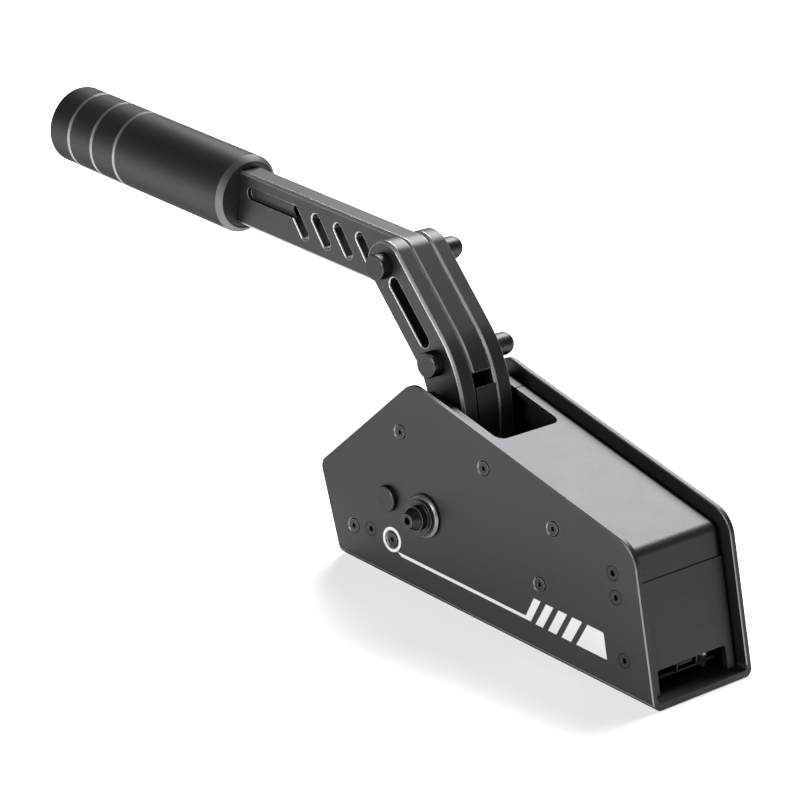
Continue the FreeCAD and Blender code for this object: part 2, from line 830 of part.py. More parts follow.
def make_grip_bar():
    """Flat bar from inside the grip to the top bolt, bent down there between the arms."""
    turn = math.atan2(upper_z, -upper_x)
    upper_shift = bar_above_bolts * math.tan(turn / 2)
    lower_shift = bar_below_bolts * math.tan(turn / 2)
    body = prism(
        [
            (bar_rear_x, top_bolt_z - bar_below_bolts, 0.0),
            (bar_rear_x, top_bolt_z + bar_above_bolts, 0.0),
            (top_bolt_x + upper_shift, top_bolt_z + bar_above_bolts, bar_above_bolts),
            bend_corner(bar_above_bolts) + (band_bend_radius + bar_above_bolts,),
            beside_lower(pivot_x, pivot_z, band_half_width, bar_above_bolts) + (0.0,),
            beside_lower(pivot_x, pivot_z, band_half_width, -bar_below_bolts) + (0.0,),
            bend_corner(-bar_below_bolts) + (band_bend_radius - bar_below_bolts,),
            (top_bolt_x - lower_shift, top_bolt_z - bar_below_bolts, bar_inner_corner_radius),
        ],
        -middle_half, middle_half,
    )
    body = body.common(beyond(upper_run + bar_end_past_bolt, False)).removeSplitter()
    body = body.makeChamfer(bar_bevel, edges_at_y(body, (-middle_half, middle_half)))
    lean = math.radians(bar_slot_lean_deg)
    reach_x = bar_slot_reach / 2 * math.sin(lean)
    reach_z = bar_slot_reach / 2 * math.cos(lean)
    slots = []
    for number in range(bar_slot_count):
        x = bar_slot_first_x + number * bar_slot_pitch
        slots.append(slanted_slot(
            x - reach_x, grip_z + reach_z, x + reach_x, grip_z - reach_z,
            bar_slot_width, -middle_half - 1, middle_half + 1,
        ))
    body = bevelled_cut(body, slots, bar_slot_bevel, (-middle_half, middle_half))
    pocket_z = grip_z + bar_pocket_z_above
    cuts = bolt_holes(-middle_half - 1, middle_half + 1)
    for side in (-1, 1):
        floor = side * (middle_half - bar_pocket_depth)
        mouth = side * (middle_half + 1)
        cuts.append(slanted_slot(
            bar_pocket_rear_x, pocket_z, bar_pocket_front_x, pocket_z,
            bar_pocket_width, min(floor, mouth), max(floor, mouth),
        ))
    return body.cut(cuts)


def make_grip_sleeve():
    """Tube with a bevelled open end towards the lever, and V grooves near its closed far end."""
    body = lengthwise(grip_radius, grip_far_x, grip_near_x, grip_z)
    body = body.makeFillet(grip_far_round, edges_at_x(body, grip_far_x))
    body = body.makeChamfer(grip_near_bevel, edges_at_x(body, grip_near_x))
    cuts = [lengthwise(grip_radius - grip_wall, grip_far_x + grip_end_thick, grip_near_x + 1, grip_z)]
    deep = grip_radius - grip_groove_depth
    for number in range(grip_groove_count):
        x = grip_far_x + grip_groove_first + number * grip_groove_pitch
        reach = grip_groove_half_width * 2
        wide = grip_radius + grip_groove_depth
        ring = lengthwise(wide, x - reach, x + reach, grip_z)
        rear_cone = Part.makeCone(wide, deep, reach, V(x - reach, 0, grip_z), V(1, 0, 0))
        front_cone = Part.makeCone(deep, wide, reach, V(x, 0, grip_z), V(1, 0, 0))
        cuts.append(ring.cut([rear_cone, front_cone]))
    return body.cut(cuts)


def grip_bushing(x0, x1):
    """Plastic insert that fills the grip's bore and holds the flat bar."""
    body = lengthwise(grip_radius - grip_wall - bushing_gap, x0, x1, grip_z)
    half = middle_half + bushing_gap
    high = bar_half + bushing_gap
    return body.cut(box(x0 - 1, x1 + 1, -half, half, grip_z - high, grip_z + high))


def make_grip_bushings():
    near_front = grip_near_x - bushing_recess
    return Part.makeCompound([
        grip_bushing(near_front - bushing_length, near_front),
        grip_bushing(bar_rear_x, bar_rear_x + bushing_length),
    ])


bolt_places = [(top_bolt_x, top_bolt_z), (bottom_bolt_x, bottom_bolt_z)]
nut_start = stack_half + washer_thick


def make_clamp_bolts():
    """Bolts with plain round heads on the left."""
    bolts = []
    face = stack_half + bolt_head_length
    for x, z in bolt_places:
        head = across(x, z, bolt_head_radius, -face, -stack_half)
        head = head.makeChamfer(bolt_bevel, edges_at_y(head, (-face,)))
        shank = across(x, z, bolt_shank_radius, -stack_half, nut_start + clamp_nut_bore)
        bolts.append(head.fuse(shank).removeSplitter())
    return Part.makeCompound(bolts)


def make_clamp_washers():
    washers = []
    for x, z in bolt_places:
        disc = across(x, z, washer_radius, stack_half, nut_start)
        washers.append(disc.cut(across(x, z, bolt_shank_radius, 0, far)))
    return Part.makeCompound(washers)


def make_clamp_nuts():
    """Round dome nuts on the right."""
    nuts = []
    face = nut_start + clamp_nut_length
    for x, z in bolt_places:
        body = across(x, z, clamp_nut_radius, nut_start, face)
        body = body.makeFillet(clamp_nut_dome, edges_at_y(body, (face,)))
        nuts.append(body.cut(across(x, z, bolt_shank_radius, 0, nut_start + clamp_nut_bore)))
    return Part.makeCompound(nuts)


def make_spring_block():
    """Block that takes the spring's push, held by two large screws in each wall.

    Its front is bored out for the nut that holds the plunger back.
    """
    upper_half = flange_inner - cover_gap
    lower = box(block_rear_x, block_front_x, -inner_half, inner_half, block_low_z, block_step_z)
    upper = box(block_rear_x, block_front_x, -upper_half, upper_half, block_step_z, block_high_z)
    cuts = [
        lengthwise(bush_radius, block_rear_x - 1, block_front_x + 1, rod_z),
        lengthwise(rebound_washer_radius + block_recess_gap, recess_x, block_front_x + 1, rod_z),
    ]
    for side in (-1, 1):
        for x, z in (block_screw_upper, block_screw_lower):
            cuts.append(screw_hole(x, z, side, True))
    return lower.fuse(upper).removeSplitter().cut(cuts)


def make_rod_bush():
    body = lengthwise(bush_radius, block_rear_x, recess_x, rod_z)
    return body.cut(lengthwise(rod_radius + rod_running_gap, block_rear_x - 1, block_front_x + 1, rod_z))


def make_load_cell():
    """Ring sensor on the block's rear face, with a flat boss below for its lead."""
    ring = lengthwise(load_cell_radius, load_cell_rear_x, block_rear_x, rod_z)
    half = load_cell_boss / 2
    middle_x = load_cell_rear_x + load_cell_thick / 2
    low = rod_z - load_cell_radius - 1
    boss = box(middle_x - half, middle_x + half, -half, half, low, rod_z - load_cell_radius / 2)
    bore = lengthwise(rod_radius + rod_gap, load_cell_rear_x - 1, block_rear_x + 1, rod_z)
    return ring.fuse(boss).cut(bore).removeSplitter()


def make_plunger():
    nose = lengthwise(nose_radius, nose_rear_x, flange_rear_x, rod_z)
    nose = nose.makeChamfer(bolt_bevel, edges_at_x(nose, nose_rear_x))
    flange = lengthwise(plunger_flange_radius, flange_rear_x, flange_front_x, rod_z)
    rod = lengthwise(rod_radius, flange_rear_x, rod_front_x, rod_z)
    return nose.fuse([flange, rod]).removeSplitter()


def make_return_spring():
    """Envelope of the compression spring between the plunger's flange and the load cell."""
    body = lengthwise(spring_outer_radius, flange_front_x, load_cell_rear_x, rod_z)
    bore_radius = spring_outer_radius - spring_wire
    return body.cut(lengthwise(bore_radius, flange_front_x - 1, load_cell_rear_x + 1, rod_z))


def make_travel_spacer():
    """Elastomer tube that ends the plunger's travel."""
    body = lengthwise(end_stop_radius, end_stop_rear_x, load_cell_rear_x, rod_z)
    return body.cut(lengthwise(rod_radius + rod_gap, end_stop_rear_x - 1, load_cell_rear_x + 1, rod_z))


def make_rebound_washer():
    end = recess_x + rebound_washer_thick
    body = lengthwise(rebound_washer_radius, recess_x, end, rod_z)
    return body.cut(lengthwise(rod_radius + rod_gap, recess_x - 1, end + 1, rod_z))


def make_retaining_nut():
    body = hexagon(V(nut_rear_x, 0, rod_z), V(1, 0, 0), retaining_nut_flats, retaining_nut_thick)
    return body.cut(lengthwise(rod_radius, nut_rear_x - 1, rod_front_x + 1, rod_z))


def make_foot_block():
    """Block in the rear foot that takes three side screws in each wall."""
    outline = open_outline()
    zone = box(-far, foot_block_front_x, -inner_half, inner_half, wall, foot_block_high_z)
    narrow_half = flange_inner - cover_gap
    fold = cover_fold_radius - cover_thick - cover_gap
    narrow_outline = folded(inset(outline, cover_recess + cover_thick + cover_gap), fold)
    narrow = prism(narrow_outline, -narrow_half, narrow_half)
    narrow = narrow.makeFillet(top_edge_radius - cover_thick, edges_at_y(narrow, (-narrow_half, narrow_half)))
    wide = prism(inset(outline, cover_recess + flange_depth + cover_gap), -half_width, half_width)
    room = zone.common(trough(inner_half, wall, bend_inner_radius))
    body = room.common(narrow).fuse(room.common(wide)).removeSplitter()
    cuts = []
    for side in (-1, 1):
        cuts.append(screw_hole(foot_screw_rear[0], foot_screw_rear[1], side, True))
        cuts.append(screw_hole(foot_screw_front[0], foot_screw_front[1], side, True))
        cuts.append(screw_hole(foot_screw_middle[0], foot_screw_middle[1], side, False))
    return body.cut(cuts)


def make_base_nuts():
    """Clinch nuts, flush with the underside, for the bolts that come up from the rig."""
    nuts = []
    for x, y in mount_places():
        shank = upright(x, y, base_nut_shank_radius, 0, wall)
        body = upright(x, y, base_nut_radius, wall, wall + base_nut_height)
        bore = upright(x, y, mount_hole_radius, -1, wall + base_nut_height + 1)
        nuts.append(shank.fuse(body).cut(bore).removeSplitter())
    return Part.makeCompound(nuts)


def post_places():
    places = []
    for x in (board_rear_x + board_post_inset, board_front_x - board_post_inset):
        for y in (board_post_inset - board_width / 2, board_width / 2 - board_post_inset):
            places.append((x, y))
    return places


def make_controller_board():
    half = board_width / 2
    top = board_low_z + board_thick
    body = box(board_rear_x, board_front_x, -half, half, board_low_z, top)
    chip_x = board_rear_x + board_length / 2 - chip_size
    chip = box(chip_x, chip_x + chip_size, -chip_size / 2, chip_size / 2, top, top + chip_thick)
    holes = [upright(x, y, board_screw_radius, board_low_z - 1, top + 1) for x, y in post_places()]
    return body.fuse(chip).removeSplitter().cut(holes)


def make_board_standoffs():
    posts = []
    for x, y in post_places():
        post = upright(x, y, board_post_radius, wall, board_low_z)
        posts.append(post.cut(upright(x, y, board_screw_radius, wall + 1, board_low_z + 1)))
    return Part.makeCompound(posts)


def make_board_screws():
    screws = []
    top = board_low_z + board_thick
    for x, y in post_places():
        head = upright(x, y, board_screw_head_radius, top, top + board_screw_head_thick)
        shank = upright(x, y, board_screw_radius, wall + 1, top)
        key_top = V(x, y, top + board_screw_head_thick)
        key = hexagon(key_top, V(0, 0, -1), board_screw_key_flats, board_screw_head_thick * key_depth_share)
        screws.append(head.fuse(shank).cut(key).removeSplitter())
    return Part.makeCompound(screws)


def make_data_socket():
    """Socket for the lead, on the front edge of the board."""
    low = board_low_z + board_thick
    half = socket_width / 2
    front = board_front_x + socket_past_board
    body = box(front - socket_length, front, -half, half, low, low + socket_height)
    mouth_half = half - socket_shell
    mouth = box(
        front - socket_mouth_depth, front + 1, -mouth_half, mouth_half,
        low + socket_shell, low + socket_height - socket_shell,
    )
    tongue_low = low + (socket_height - socket_tongue_thick) / 2
    tongue = box(
        front - socket_mouth_depth, front - socket_shell, 2 * socket_shell - mouth_half,
        mouth_half - 2 * socket_shell, tongue_low, tongue_low + socket_tongue_thick,
    )
    return body.cut(mouth).fuse(tongue).removeSplitter()


def make_sensor_cable():
    """Lead from the load cell's boss, down and forward to the board's rear edge."""
    x = load_cell_rear_x + load_cell_thick / 2
    top = rod_z - load_cell_radius - 1
    low = board_low_z + board_thick / 2
    radius = 0.45 * (board_rear_x - x)
    diagonal = radius * (1 - math.sqrt(0.5))
    path = Part.Wire([
        Part.LineSegment(V(x, 0, top), V(x, 0, low + radius)).toShape(),
        Part.Arc(V(x, 0, low + radius), V(x + diagonal, 0, low + diagonal), V(x + radius, 0, low)).toShape(),
        Part.LineSegment(V(x + radius, 0, low), V(board_rear_x, 0, low)).toShape(),
    ])
    section = Part.Wire([Part.Circle(V(x, 0, top), V(0, 0, -1), cable_radius).toShape()])
    return path.makePipeShell([section], True, False)


def main():
    save("channel_shell", make_channel_shell())
    save("top_cover", make_top_cover())
    save("rear_cover", make_rear_cover())
    save("front_panel", make_front_panel())
    save("side_screws_left", side_screws(-1))
    save("side_screws_right", side_screws(1))
    save("cover_nuts", make_cover_nuts())
    save("pivot_bearing_left", make_pivot_bearing(-1))
    save("pivot_bearing_right", make_pivot_bearing(1))
    save("stop_rod", make_stop_rod())
    save("stop_rod_nut", make_stop_rod_nut())
    save("stop_bumper", make_stop_bumper())
    save("stop_rod_sleeves", make_stop_rod_sleeves())
    save("foot_block", make_foot_block())
    save("base_nuts", make_base_nuts())
    save("spring_block", make_spring_block())
    save("rod_bush", make_rod_bush())
    save("load_cell", make_load_cell())
    save("travel_spacer", make_travel_spacer())
    save("return_spring", make_return_spring())
    save("rebound_washer", make_rebound_washer())
    save("controller_board", make_controller_board())
    save("board_standoffs", make_board_standoffs())
    save("board_screws", make_board_screws())
    save("data_socket", make_data_socket())
    save("sensor_cable", make_sensor_cable())
    save("pivot_axle", make_pivot_axle())
    save("axle_nut", make_axle_nut())
    save("axle_collars", make_axle_collars())
    save("arm_spacers", make_arm_spacers())
    save("lever_arm_left", make_lever_arm(-1))
    save("lever_arm_right", make_lever_arm(1))
    save("pivot_block", make_pivot_block())
    save("push_roller", make_push_roller())
    save("roller_pin", make_roller_pin())
    save("grip_bar", make_grip_bar())
    save("grip_sleeve", make_grip_sleeve())
    save("grip_bushings", make_grip_bushings())
    save("clamp_bolts", make_clamp_bolts())
    save("clamp_washers", make_clamp_washers())
    save("clamp_nuts", make_clamp_nuts())
    save("plunger", make_plunger())
    save("retaining_nut", make_retaining_nut())


main()
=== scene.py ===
"""Finishes and fine detail of a sim racing handbrake, laid over its packed construction."""

import math

import bmesh
import bpy
from bpy.props import FloatProperty, FloatVectorProperty, IntProperty, PointerProperty
from mathutils import Matrix, Vector


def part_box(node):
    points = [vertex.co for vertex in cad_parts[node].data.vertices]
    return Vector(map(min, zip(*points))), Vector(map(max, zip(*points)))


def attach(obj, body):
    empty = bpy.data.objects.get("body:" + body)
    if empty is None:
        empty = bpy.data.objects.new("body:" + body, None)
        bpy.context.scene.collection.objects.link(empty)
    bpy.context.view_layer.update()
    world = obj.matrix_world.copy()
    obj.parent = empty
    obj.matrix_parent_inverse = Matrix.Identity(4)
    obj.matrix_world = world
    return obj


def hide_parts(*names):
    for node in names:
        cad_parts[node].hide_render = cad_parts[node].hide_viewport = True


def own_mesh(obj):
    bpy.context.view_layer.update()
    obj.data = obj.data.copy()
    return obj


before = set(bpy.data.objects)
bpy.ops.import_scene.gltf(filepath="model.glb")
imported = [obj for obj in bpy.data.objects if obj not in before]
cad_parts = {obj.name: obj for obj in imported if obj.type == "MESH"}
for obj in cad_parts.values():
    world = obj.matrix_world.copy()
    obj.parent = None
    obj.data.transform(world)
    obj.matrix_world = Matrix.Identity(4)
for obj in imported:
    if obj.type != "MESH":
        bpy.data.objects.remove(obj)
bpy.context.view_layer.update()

bl_info = {
    "name": "Racing handbrake",
    "version": (1, 0, 0),
    "blender": (4, 5, 0),
    "location": "3D View > Sidebar > Handbrake",
    "description": "Coated housing, anodised lever, turned pivot, printed stripes and a plain studio",
    "category": "Object",
}

MM = 0.001
MERGE_DISTANCE = 0.002 * MM
FLAT_DEGREES = 0.6          # faces that meet at less than this are made one
SOFTENED_DEGREES = 28       # edges that meet at more than this are rounded a little
SHARP_DEGREES = 30          # edges of a form that meet at more than this are shaded sharp
SLOPE_FROM = 0.3            # a face is a bevel where its normal points across by this much
SLOPE_TO = 0.92             # and by less than this
EDGE_MARK = "worn_and_highlight_edge"     # 1 on faces painted bright: partly metal worn through its black, partly a painted highlight
BLACK_METALLIC = 0.95
# Metallic of those faces, partly worn metal and partly a painted highlight
WORN_AND_HIGHLIGHT_METALLIC = 0.9
GRAZING_SHARE = 0.3         # how much a black metal brightens where it is seen edge-on


def node_middle(node):
    low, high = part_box(node)
    return (low + high) / 2


HALF_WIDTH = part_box("channel_shell")[1].y
PIVOT = node_middle("pivot_bearing_left")
ARM_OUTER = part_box("lever_arm_right")[1].y
BAR_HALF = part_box("grip_bar")[1].y
GRIP_LOW, GRIP_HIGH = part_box("grip_sleeve")
GRIP_MIDDLE = node_middle("grip_sleeve")
SPRING_LOW, SPRING_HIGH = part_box("return_spring")
SPRING_MIDDLE = node_middle("return_spring")


def length_property(name, description, millimetres):
    return FloatProperty(
        name=name, description=description, default=millimetres * MM, min=0.0, unit="LENGTH", precision=5
    )


def colour_property(name, description, colour):
    return FloatVectorProperty(
        name=name, description=description, default=colour, size=3, min=0.0, max=1.0, subtype="COLOR"
    )


class HandbrakeSizes(bpy.types.PropertyGroup):
    """Sizes of the detail that is added to the construction."""

    sheet_edge: length_property("Sheet edge", "Softening of the sheet metal's cut edges", 0.05)
    lever_edge: length_property("Lever edge", "Softening of the milled lever's edges", 0.12)
    small_edge: length_property("Small edge", "Softening of edges on fasteners and turned parts", 0.08)
    print_thick: length_property("Print thickness", "How far the printed stripes stand off the wall", 0.03)
    ring_inner: length_property("Ring bore", "Inner radius of the printed ring", 4.37)
    ring_outer: length_property("Ring radius", "Outer radius of the printed ring", 5.81)
    wide_head: length_property("Wide head", "Head radius of the M4 side screws", 3.67)
    wide_key: length_property("Wide key", "Key size of the M4 side screws", 2.5)
    wide_depth: length_property("Wide head depth", "Head depth of the M4 side screws", 2.2)
    wide_shank: length_property("Wide shank", "Shank radius of the M4 side screws", 2.0)
    wide_length: length_property("Wide length", "Length of the M4 side screws", 12.0)
    narrow_head: length_property("Narrow head", "Head radius of the M3 side screws", 2.99)
    narrow_key: length_property("Narrow key", "Key size of the M3 side screws", 2.0)
    narrow_depth: length_property("Narrow head depth", "Head depth of the M3 side screws", 1.6)
    narrow_shank: length_property("Narrow shank", "Shank radius of the M3 side screws", 1.5)
    narrow_length: length_property("Narrow length", "Length of the M3 side screws", 9.0)
    groove_depth: length_property("Groove depth", "Depth of the grip's grooves", 1.1)
    groove_half: length_property("Groove half width", "Half the width of the grip's grooves", 1.1)
    groove_first: length_property("First groove", "From the grip's far end to its first groove", 16.2)
    groove_pitch: length_property("Groove pitch", "From one groove of the grip to the next", 16.9)
    grip_wall: length_property("Grip wall", "Wall of the grip's tube", 2.9)
    grip_end: length_property("Grip end", "Thickness of the grip's closed far end", 6.0)
    grip_rounding: length_property("Grip rounding", "Rounding of the grip's far end", 3.5)
    grip_bevel: length_property("Grip bevel", "Bevel round the grip's open end", 2.6)
    spring_wire: length_property("Spring wire", "Thickness of the return spring's wire", 2.8)
    spring_turns: FloatProperty(
        name="Spring turns", description="Turns of the return spring", default=7.5, min=3.0, subtype="FACTOR"
    )
    round_steps: IntProperty(name="Round steps", description="Steps round the grip", default=144, min=24)
    floor_half: FloatProperty(
        name="Floor", description="Half the floor's width", default=6.0, min=1.0, unit="LENGTH"
    )


class HandbrakeColours(bpy.types.PropertyGroup):
    """Colours of the finishes."""

    coat: colour_property("Coat", "Fine-grain coat of the housing", (0.068, 0.068, 0.071))
    anodised: colour_property("Anodised", "Black anodised lever parts", (0.072, 0.072, 0.075))
    # The colour of the marked edges: partly metal worn through its black, partly a painted highlight
    worn_and_highlight_edge: colour_property("Bare edge", "Metal where a milled edge lost its black", (0.50, 0.50, 0.52))
    oxide: colour_property("Oxide", "Black oxide of the fasteners", (0.060, 0.060, 0.063))
    steel: colour_property("Steel", "Ground steel of the axle and plunger", (0.42, 0.42, 0.44))
    zinc: colour_property("Zinc", "Zinc plating", (0.62, 0.63, 0.65))
    stainless: colour_property("Stainless", "Satin stainless of the load cell", (0.60, 0.60, 0.61))
    bronze: colour_property("Bronze", "Bush and posts", (0.50, 0.33, 0.16))
    rubber: colour_property("Rubber", "Bumper and travel spacer", (0.018, 0.018, 0.018))
    plastic: colour_property("Plastic", "Grip inserts, sleeves and lead", (0.015, 0.015, 0.016))
    board: colour_property("Board", "Solder resist of the circuit board", (0.012, 0.012, 0.013))
    print_white: colour_property("Print", "Printed stripes", (0.98, 0.98, 0.98))
    floor: colour_property("Floor", "Studio floor", (0.86, 0.86, 0.86))


class Amount:
    """A number socket of a tree, so that its maths reads as Python expressions."""

    def __init__(self, owner, socket):
        self.owner = owner
        self.socket = socket

    def combined(self, operation, first, second=0.0, clamped=False):
        settings = {"operation": operation, "use_clamp": clamped}
        made = self.owner.node("ShaderNodeMath", settings, {0: first, 1: second})
        return Amount(self.owner, made.outputs[0])

    def __add__(self, other):
        return self.combined("ADD", self, other)

    def __radd__(self, other):
        return self.combined("ADD", other, self)

    def __sub__(self, other):
        return self.combined("SUBTRACT", self, other)

    def __rsub__(self, other):
        return self.combined("SUBTRACT", other, self)

    def __mul__(self, other):
        return self.combined("MULTIPLY", self, other)

    def __rmul__(self, other):
        return self.combined("MULTIPLY", other, self)

    def __truediv__(self, other):
        return self.combined("DIVIDE", self, other)

    def __rtruediv__(self, other):
        return self.combined("DIVIDE", other, self)

    def __mod__(self, other):
        return self.combined("MODULO", self, other)

    def function(self, operation):
        return self.combined(operation, self)

    def clamped(self):
        return self.combined("ADD", self, 0.0, True)


class Tree:
    """Makes nodes: a type, its settings first, then the values or links of its sockets."""

    def __init__(self, tree):
        self.tree = tree

    def feed(self, socket, value):
        if isinstance(value, Amount):
            value = value.socket
        if isinstance(value, bpy.types.NodeSocket):
            self.tree.links.new(value, socket)
        else:
            socket.default_value = value

    def node(self, kind, settings=None, sockets=None):
        made = self.tree.nodes.new(kind)
        for key, value in (settings or {}).items():
            setattr(made, key, value)
        for key, value in (sockets or {}).items():
            self.feed(made.inputs[key], value)
        return made

    def vector(self, x, y, z):
        """A vector from three numbers."""
        return self.node("ShaderNodeCombineXYZ", None, {0: x, 1: y, 2: z}).outputs[0]

    def parts(self, vector):
        """The x, y and z of a vector."""
        made = self.node("ShaderNodeSeparateXYZ", None, {0: vector})
        return [Amount(self, output) for output in made.outputs]


class Form(Tree):
    """A geometry tree with named sizes, which is run once and leaves a plain mesh."""

    def __init__(self, name):
        super().__init__(bpy.data.node_groups.new(name, "GeometryNodeTree"))
        self.tree.interface.new_socket("Geometry", in_out="OUTPUT", socket_type="NodeSocketGeometry")
        self.tree.interface.new_socket("Geometry", in_out="INPUT", socket_type="NodeSocketGeometry")
        self.entry = self.tree.nodes.new("NodeGroupInput")
        self.values = {}

    def size(self, name, value):
        """A named input, and the value that the modifier gets for it."""
        made = self.tree.interface.new_socket(name, in_out="INPUT", socket_type="NodeSocketFloat")
        self.values[made.identifier] = float(value)
        return Amount(self, self.entry.outputs[name])

    def chosen(self, index, values):
        """The value whose place in the list is the index."""
        made = self.node("GeometryNodeIndexSwitch", {"data_type": "FLOAT"}, {"Index": index})
        while len(made.index_switch_items) < len(values):
            made.index_switch_items.new()
        for place, value in enumerate(values):
            self.feed(made.inputs[place + 1], value)
        return Amount(self, made.outputs[0])

    def turned(self, rows, steps):
        """A closed form turned round Z, from the middle of its top outwards and down.

        A row is a radius, a height, 1 where it is a hexagon, and 1 where the band below it is painted
        bright, partly as worn metal and partly as a painted highlight.
        """
        grid = self.node("GeometryNodeMeshGrid", None, {"Vertices X": len(rows), "Vertices Y": steps + 1})
        index = Amount(self, self.node("GeometryNodeInputIndex").outputs[0])
        row = (index / (steps + 1)).function("FLOOR")
        angle = (index - row * (steps + 1)) * (2 * math.pi / steps)
        sixth = math.pi / 3
        corner = 1.0 / ((angle % sixth) - sixth / 2).function("COSINE")
        hexagon = self.chosen(row, [values[2] for values in rows])
        radius = self.chosen(row, [values[0] for values in rows]) * (1 + hexagon * (corner - 1))
        height = self.chosen(row, [values[1] for values in rows])
        place = self.vector(radius * angle.function("COSINE"), radius * angle.function("SINE"), height)
        shaped = self.node("GeometryNodeSetPosition", None, {"Geometry": grid.outputs[0], "Position": place})
        band = (index / steps).function("FLOOR")
        marked = self.node("GeometryNodeStoreNamedAttribute", {"data_type": "FLOAT", "domain": "FACE"}, {
            "Geometry": shaped.outputs[0], "Name": EDGE_MARK,
            "Value": self.chosen(band, [values[3] for values in rows]),
        })
        closed = self.node("GeometryNodeMergeByDistance", None, {
            "Geometry": marked.outputs[0], "Distance": MERGE_DISTANCE,
        })
        return closed.outputs[0]

    def moved(self, geometry, place, turn):
        made = self.node("GeometryNodeTransform", None, {
            "Geometry": geometry, "Translation": place, "Rotation": turn,
        })
        return made.outputs[0]

    def piece(self, geometry, finish, points=None):
        """Runs the tree on an object, and gives the plain mesh that it makes."""
        realized = self.node("GeometryNodeRealizeInstances", None, {0: geometry})
        coloured = self.node("GeometryNodeSetMaterial", None, {
            "Geometry": realized.outputs[0], "Material": finish_named(finish),
        })
        leave = self.tree.nodes.new("NodeGroupOutput")
        self.feed(leave.inputs[0], coloured.outputs[0])
        carrier = put(self.tree.name, points or bpy.data.meshes.new(self.tree.name))
        modifier = carrier.modifiers.new("form", "NODES")
        modifier.node_group = self.tree
        for identifier, value in self.values.items():
            modifier[identifier] = value
        mesh = settled(carrier)
        if not mesh.polygons:
            raise RuntimeError(f"the tree {self.tree.name} made nothing")
        return evenly_shaded(mesh)


class Finish(Tree):
    """A material in the making: a Principled surface and the nodes that vary it."""

    def __init__(self, name, colour, roughness, metallic=0.0, coat=0.0):
        self.material = bpy.data.materials.new(name)
        self.material.use_nodes = True
        super().__init__(self.material.node_tree)
        self.surface = self.tree.nodes["Principled BSDF"]
        self.surface.inputs["Base Color"].default_value = (*colour, 1.0)
        self.surface.inputs["Roughness"].default_value = roughness
        self.surface.inputs["Metallic"].default_value = metallic
        self.surface.inputs["Coat Weight"].default_value = coat

    def darken_grazing(self, share):
        """Keeps a dark metal dark where it is seen edge-on."""
        self.surface.inputs["Specular Tint"].default_value = (share, share, share, 1.0)

    def vary(self, name, value):
        self.feed(self.surface.inputs[name], value)

    def place(self, centre=(0.0, 0.0, 0.0)):
        """Object coordinates, measured from a centre."""
        coordinates = self.node("ShaderNodeTexCoord").outputs["Object"]
        shift = [-value for value in centre]
        mapping = self.node("ShaderNodeMapping", None, {"Vector": coordinates, "Location": shift})
        return mapping.outputs[0]

    def noise(self, place, size, detail, stretch=(1.0, 1.0, 1.0)):
        """Noise from 0 to 1 whose features are about as large as size."""
        scaled = self.node("ShaderNodeVectorMath", {"operation": "MULTIPLY"}, {0: place, 1: stretch})
        made = self.node("ShaderNodeTexNoise", None, {
            "Vector": scaled.outputs[0], "Scale": 1.0 / size, "Detail": detail, "Roughness": 0.6,
        })
        return Amount(self, made.outputs[0])

    def mark(self, name):
        made = self.node("ShaderNodeAttribute", {"attribute_name": name})
        return Amount(self, made.outputs["Fac"])

    def blend(self, share, first, second):
        """A colour between two colours."""
        ends = [(*value, 1.0) if isinstance(value, tuple) else value for value in (first, second)]
        made = self.node("ShaderNodeMix", {"data_type": "RGBA"}, {0: share, 6: ends[0], 7: ends[1]})
        return made.outputs[2]

    def bump(self, height, distance, strength):
        made = self.node("ShaderNodeBump", None, {
            "Height": height, "Distance": distance, "Strength": strength,
        })
        self.vary("Normal", made.outputs[0])


def shade(colour, factor):
    return tuple(min(1.0, value * factor) for value in colour)


def grained_finish(name, colour, roughness, worn_and_highlight_colour, grain):
    """Fine bead-blasted black with faint patches, and milled edges painted brighter, partly as worn metal
    and partly as a painted highlight.
    """
    finish = Finish(name, colour, roughness, BLACK_METALLIC)
    finish.darken_grazing(GRAZING_SHARE)
    place = finish.place()
    speckle = finish.noise(place, grain, 3.0)
    patches = finish.noise(place, 18 * MM, 3.0)
    # The marked edges get a painted highlight that also stands for worn metal: a brighter colour and a lower
    # roughness
    edge = finish.mark(EDGE_MARK)
    tone = finish.blend(speckle, shade(colour, 0.6), shade(colour, 1.4))
    finish.vary("Base Color", finish.blend(edge, tone, worn_and_highlight_colour))
    finish.vary("Roughness", roughness - 0.05 + 0.12 * speckle + 0.08 * (patches - 0.5) - 0.14 * edge)
    finish.vary("Metallic", BLACK_METALLIC + (WORN_AND_HIGHLIGHT_METALLIC - BLACK_METALLIC) * edge)
    finish.bump(speckle, 0.02 * MM, 0.35)
    return finish.material


def turned_finish(name, colour, roughness, worn_and_highlight_colour, pitch):
    """Turned black metal, with fine rings about the pivot's axis."""
    finish = Finish(name, colour, roughness, BLACK_METALLIC)
    finish.darken_grazing(GRAZING_SHARE)
    place = finish.place(PIVOT)
    across, _, upward = finish.parts(place)
    radius = (across * across + upward * upward).function("SQRT")
    rings = (radius * (2 * math.pi / pitch)).function("SINE") * 0.5 + 0.5
    speckle = finish.noise(place, 0.5 * MM, 2.0)
    # The marked edges get a brighter colour, partly worn metal and partly a painted highlight
    edge = finish.mark(EDGE_MARK)
    tone = finish.blend(speckle, shade(colour, 0.7), shade(colour, 1.35))
    finish.vary("Base Color", finish.blend(edge, tone, worn_and_highlight_colour))
    finish.vary("Roughness", roughness + 0.08 * rings + 0.06 * (speckle - 0.5) - 0.05 * edge)
    finish.bump(rings, 0.01 * MM, 0.5)
    return finish.material


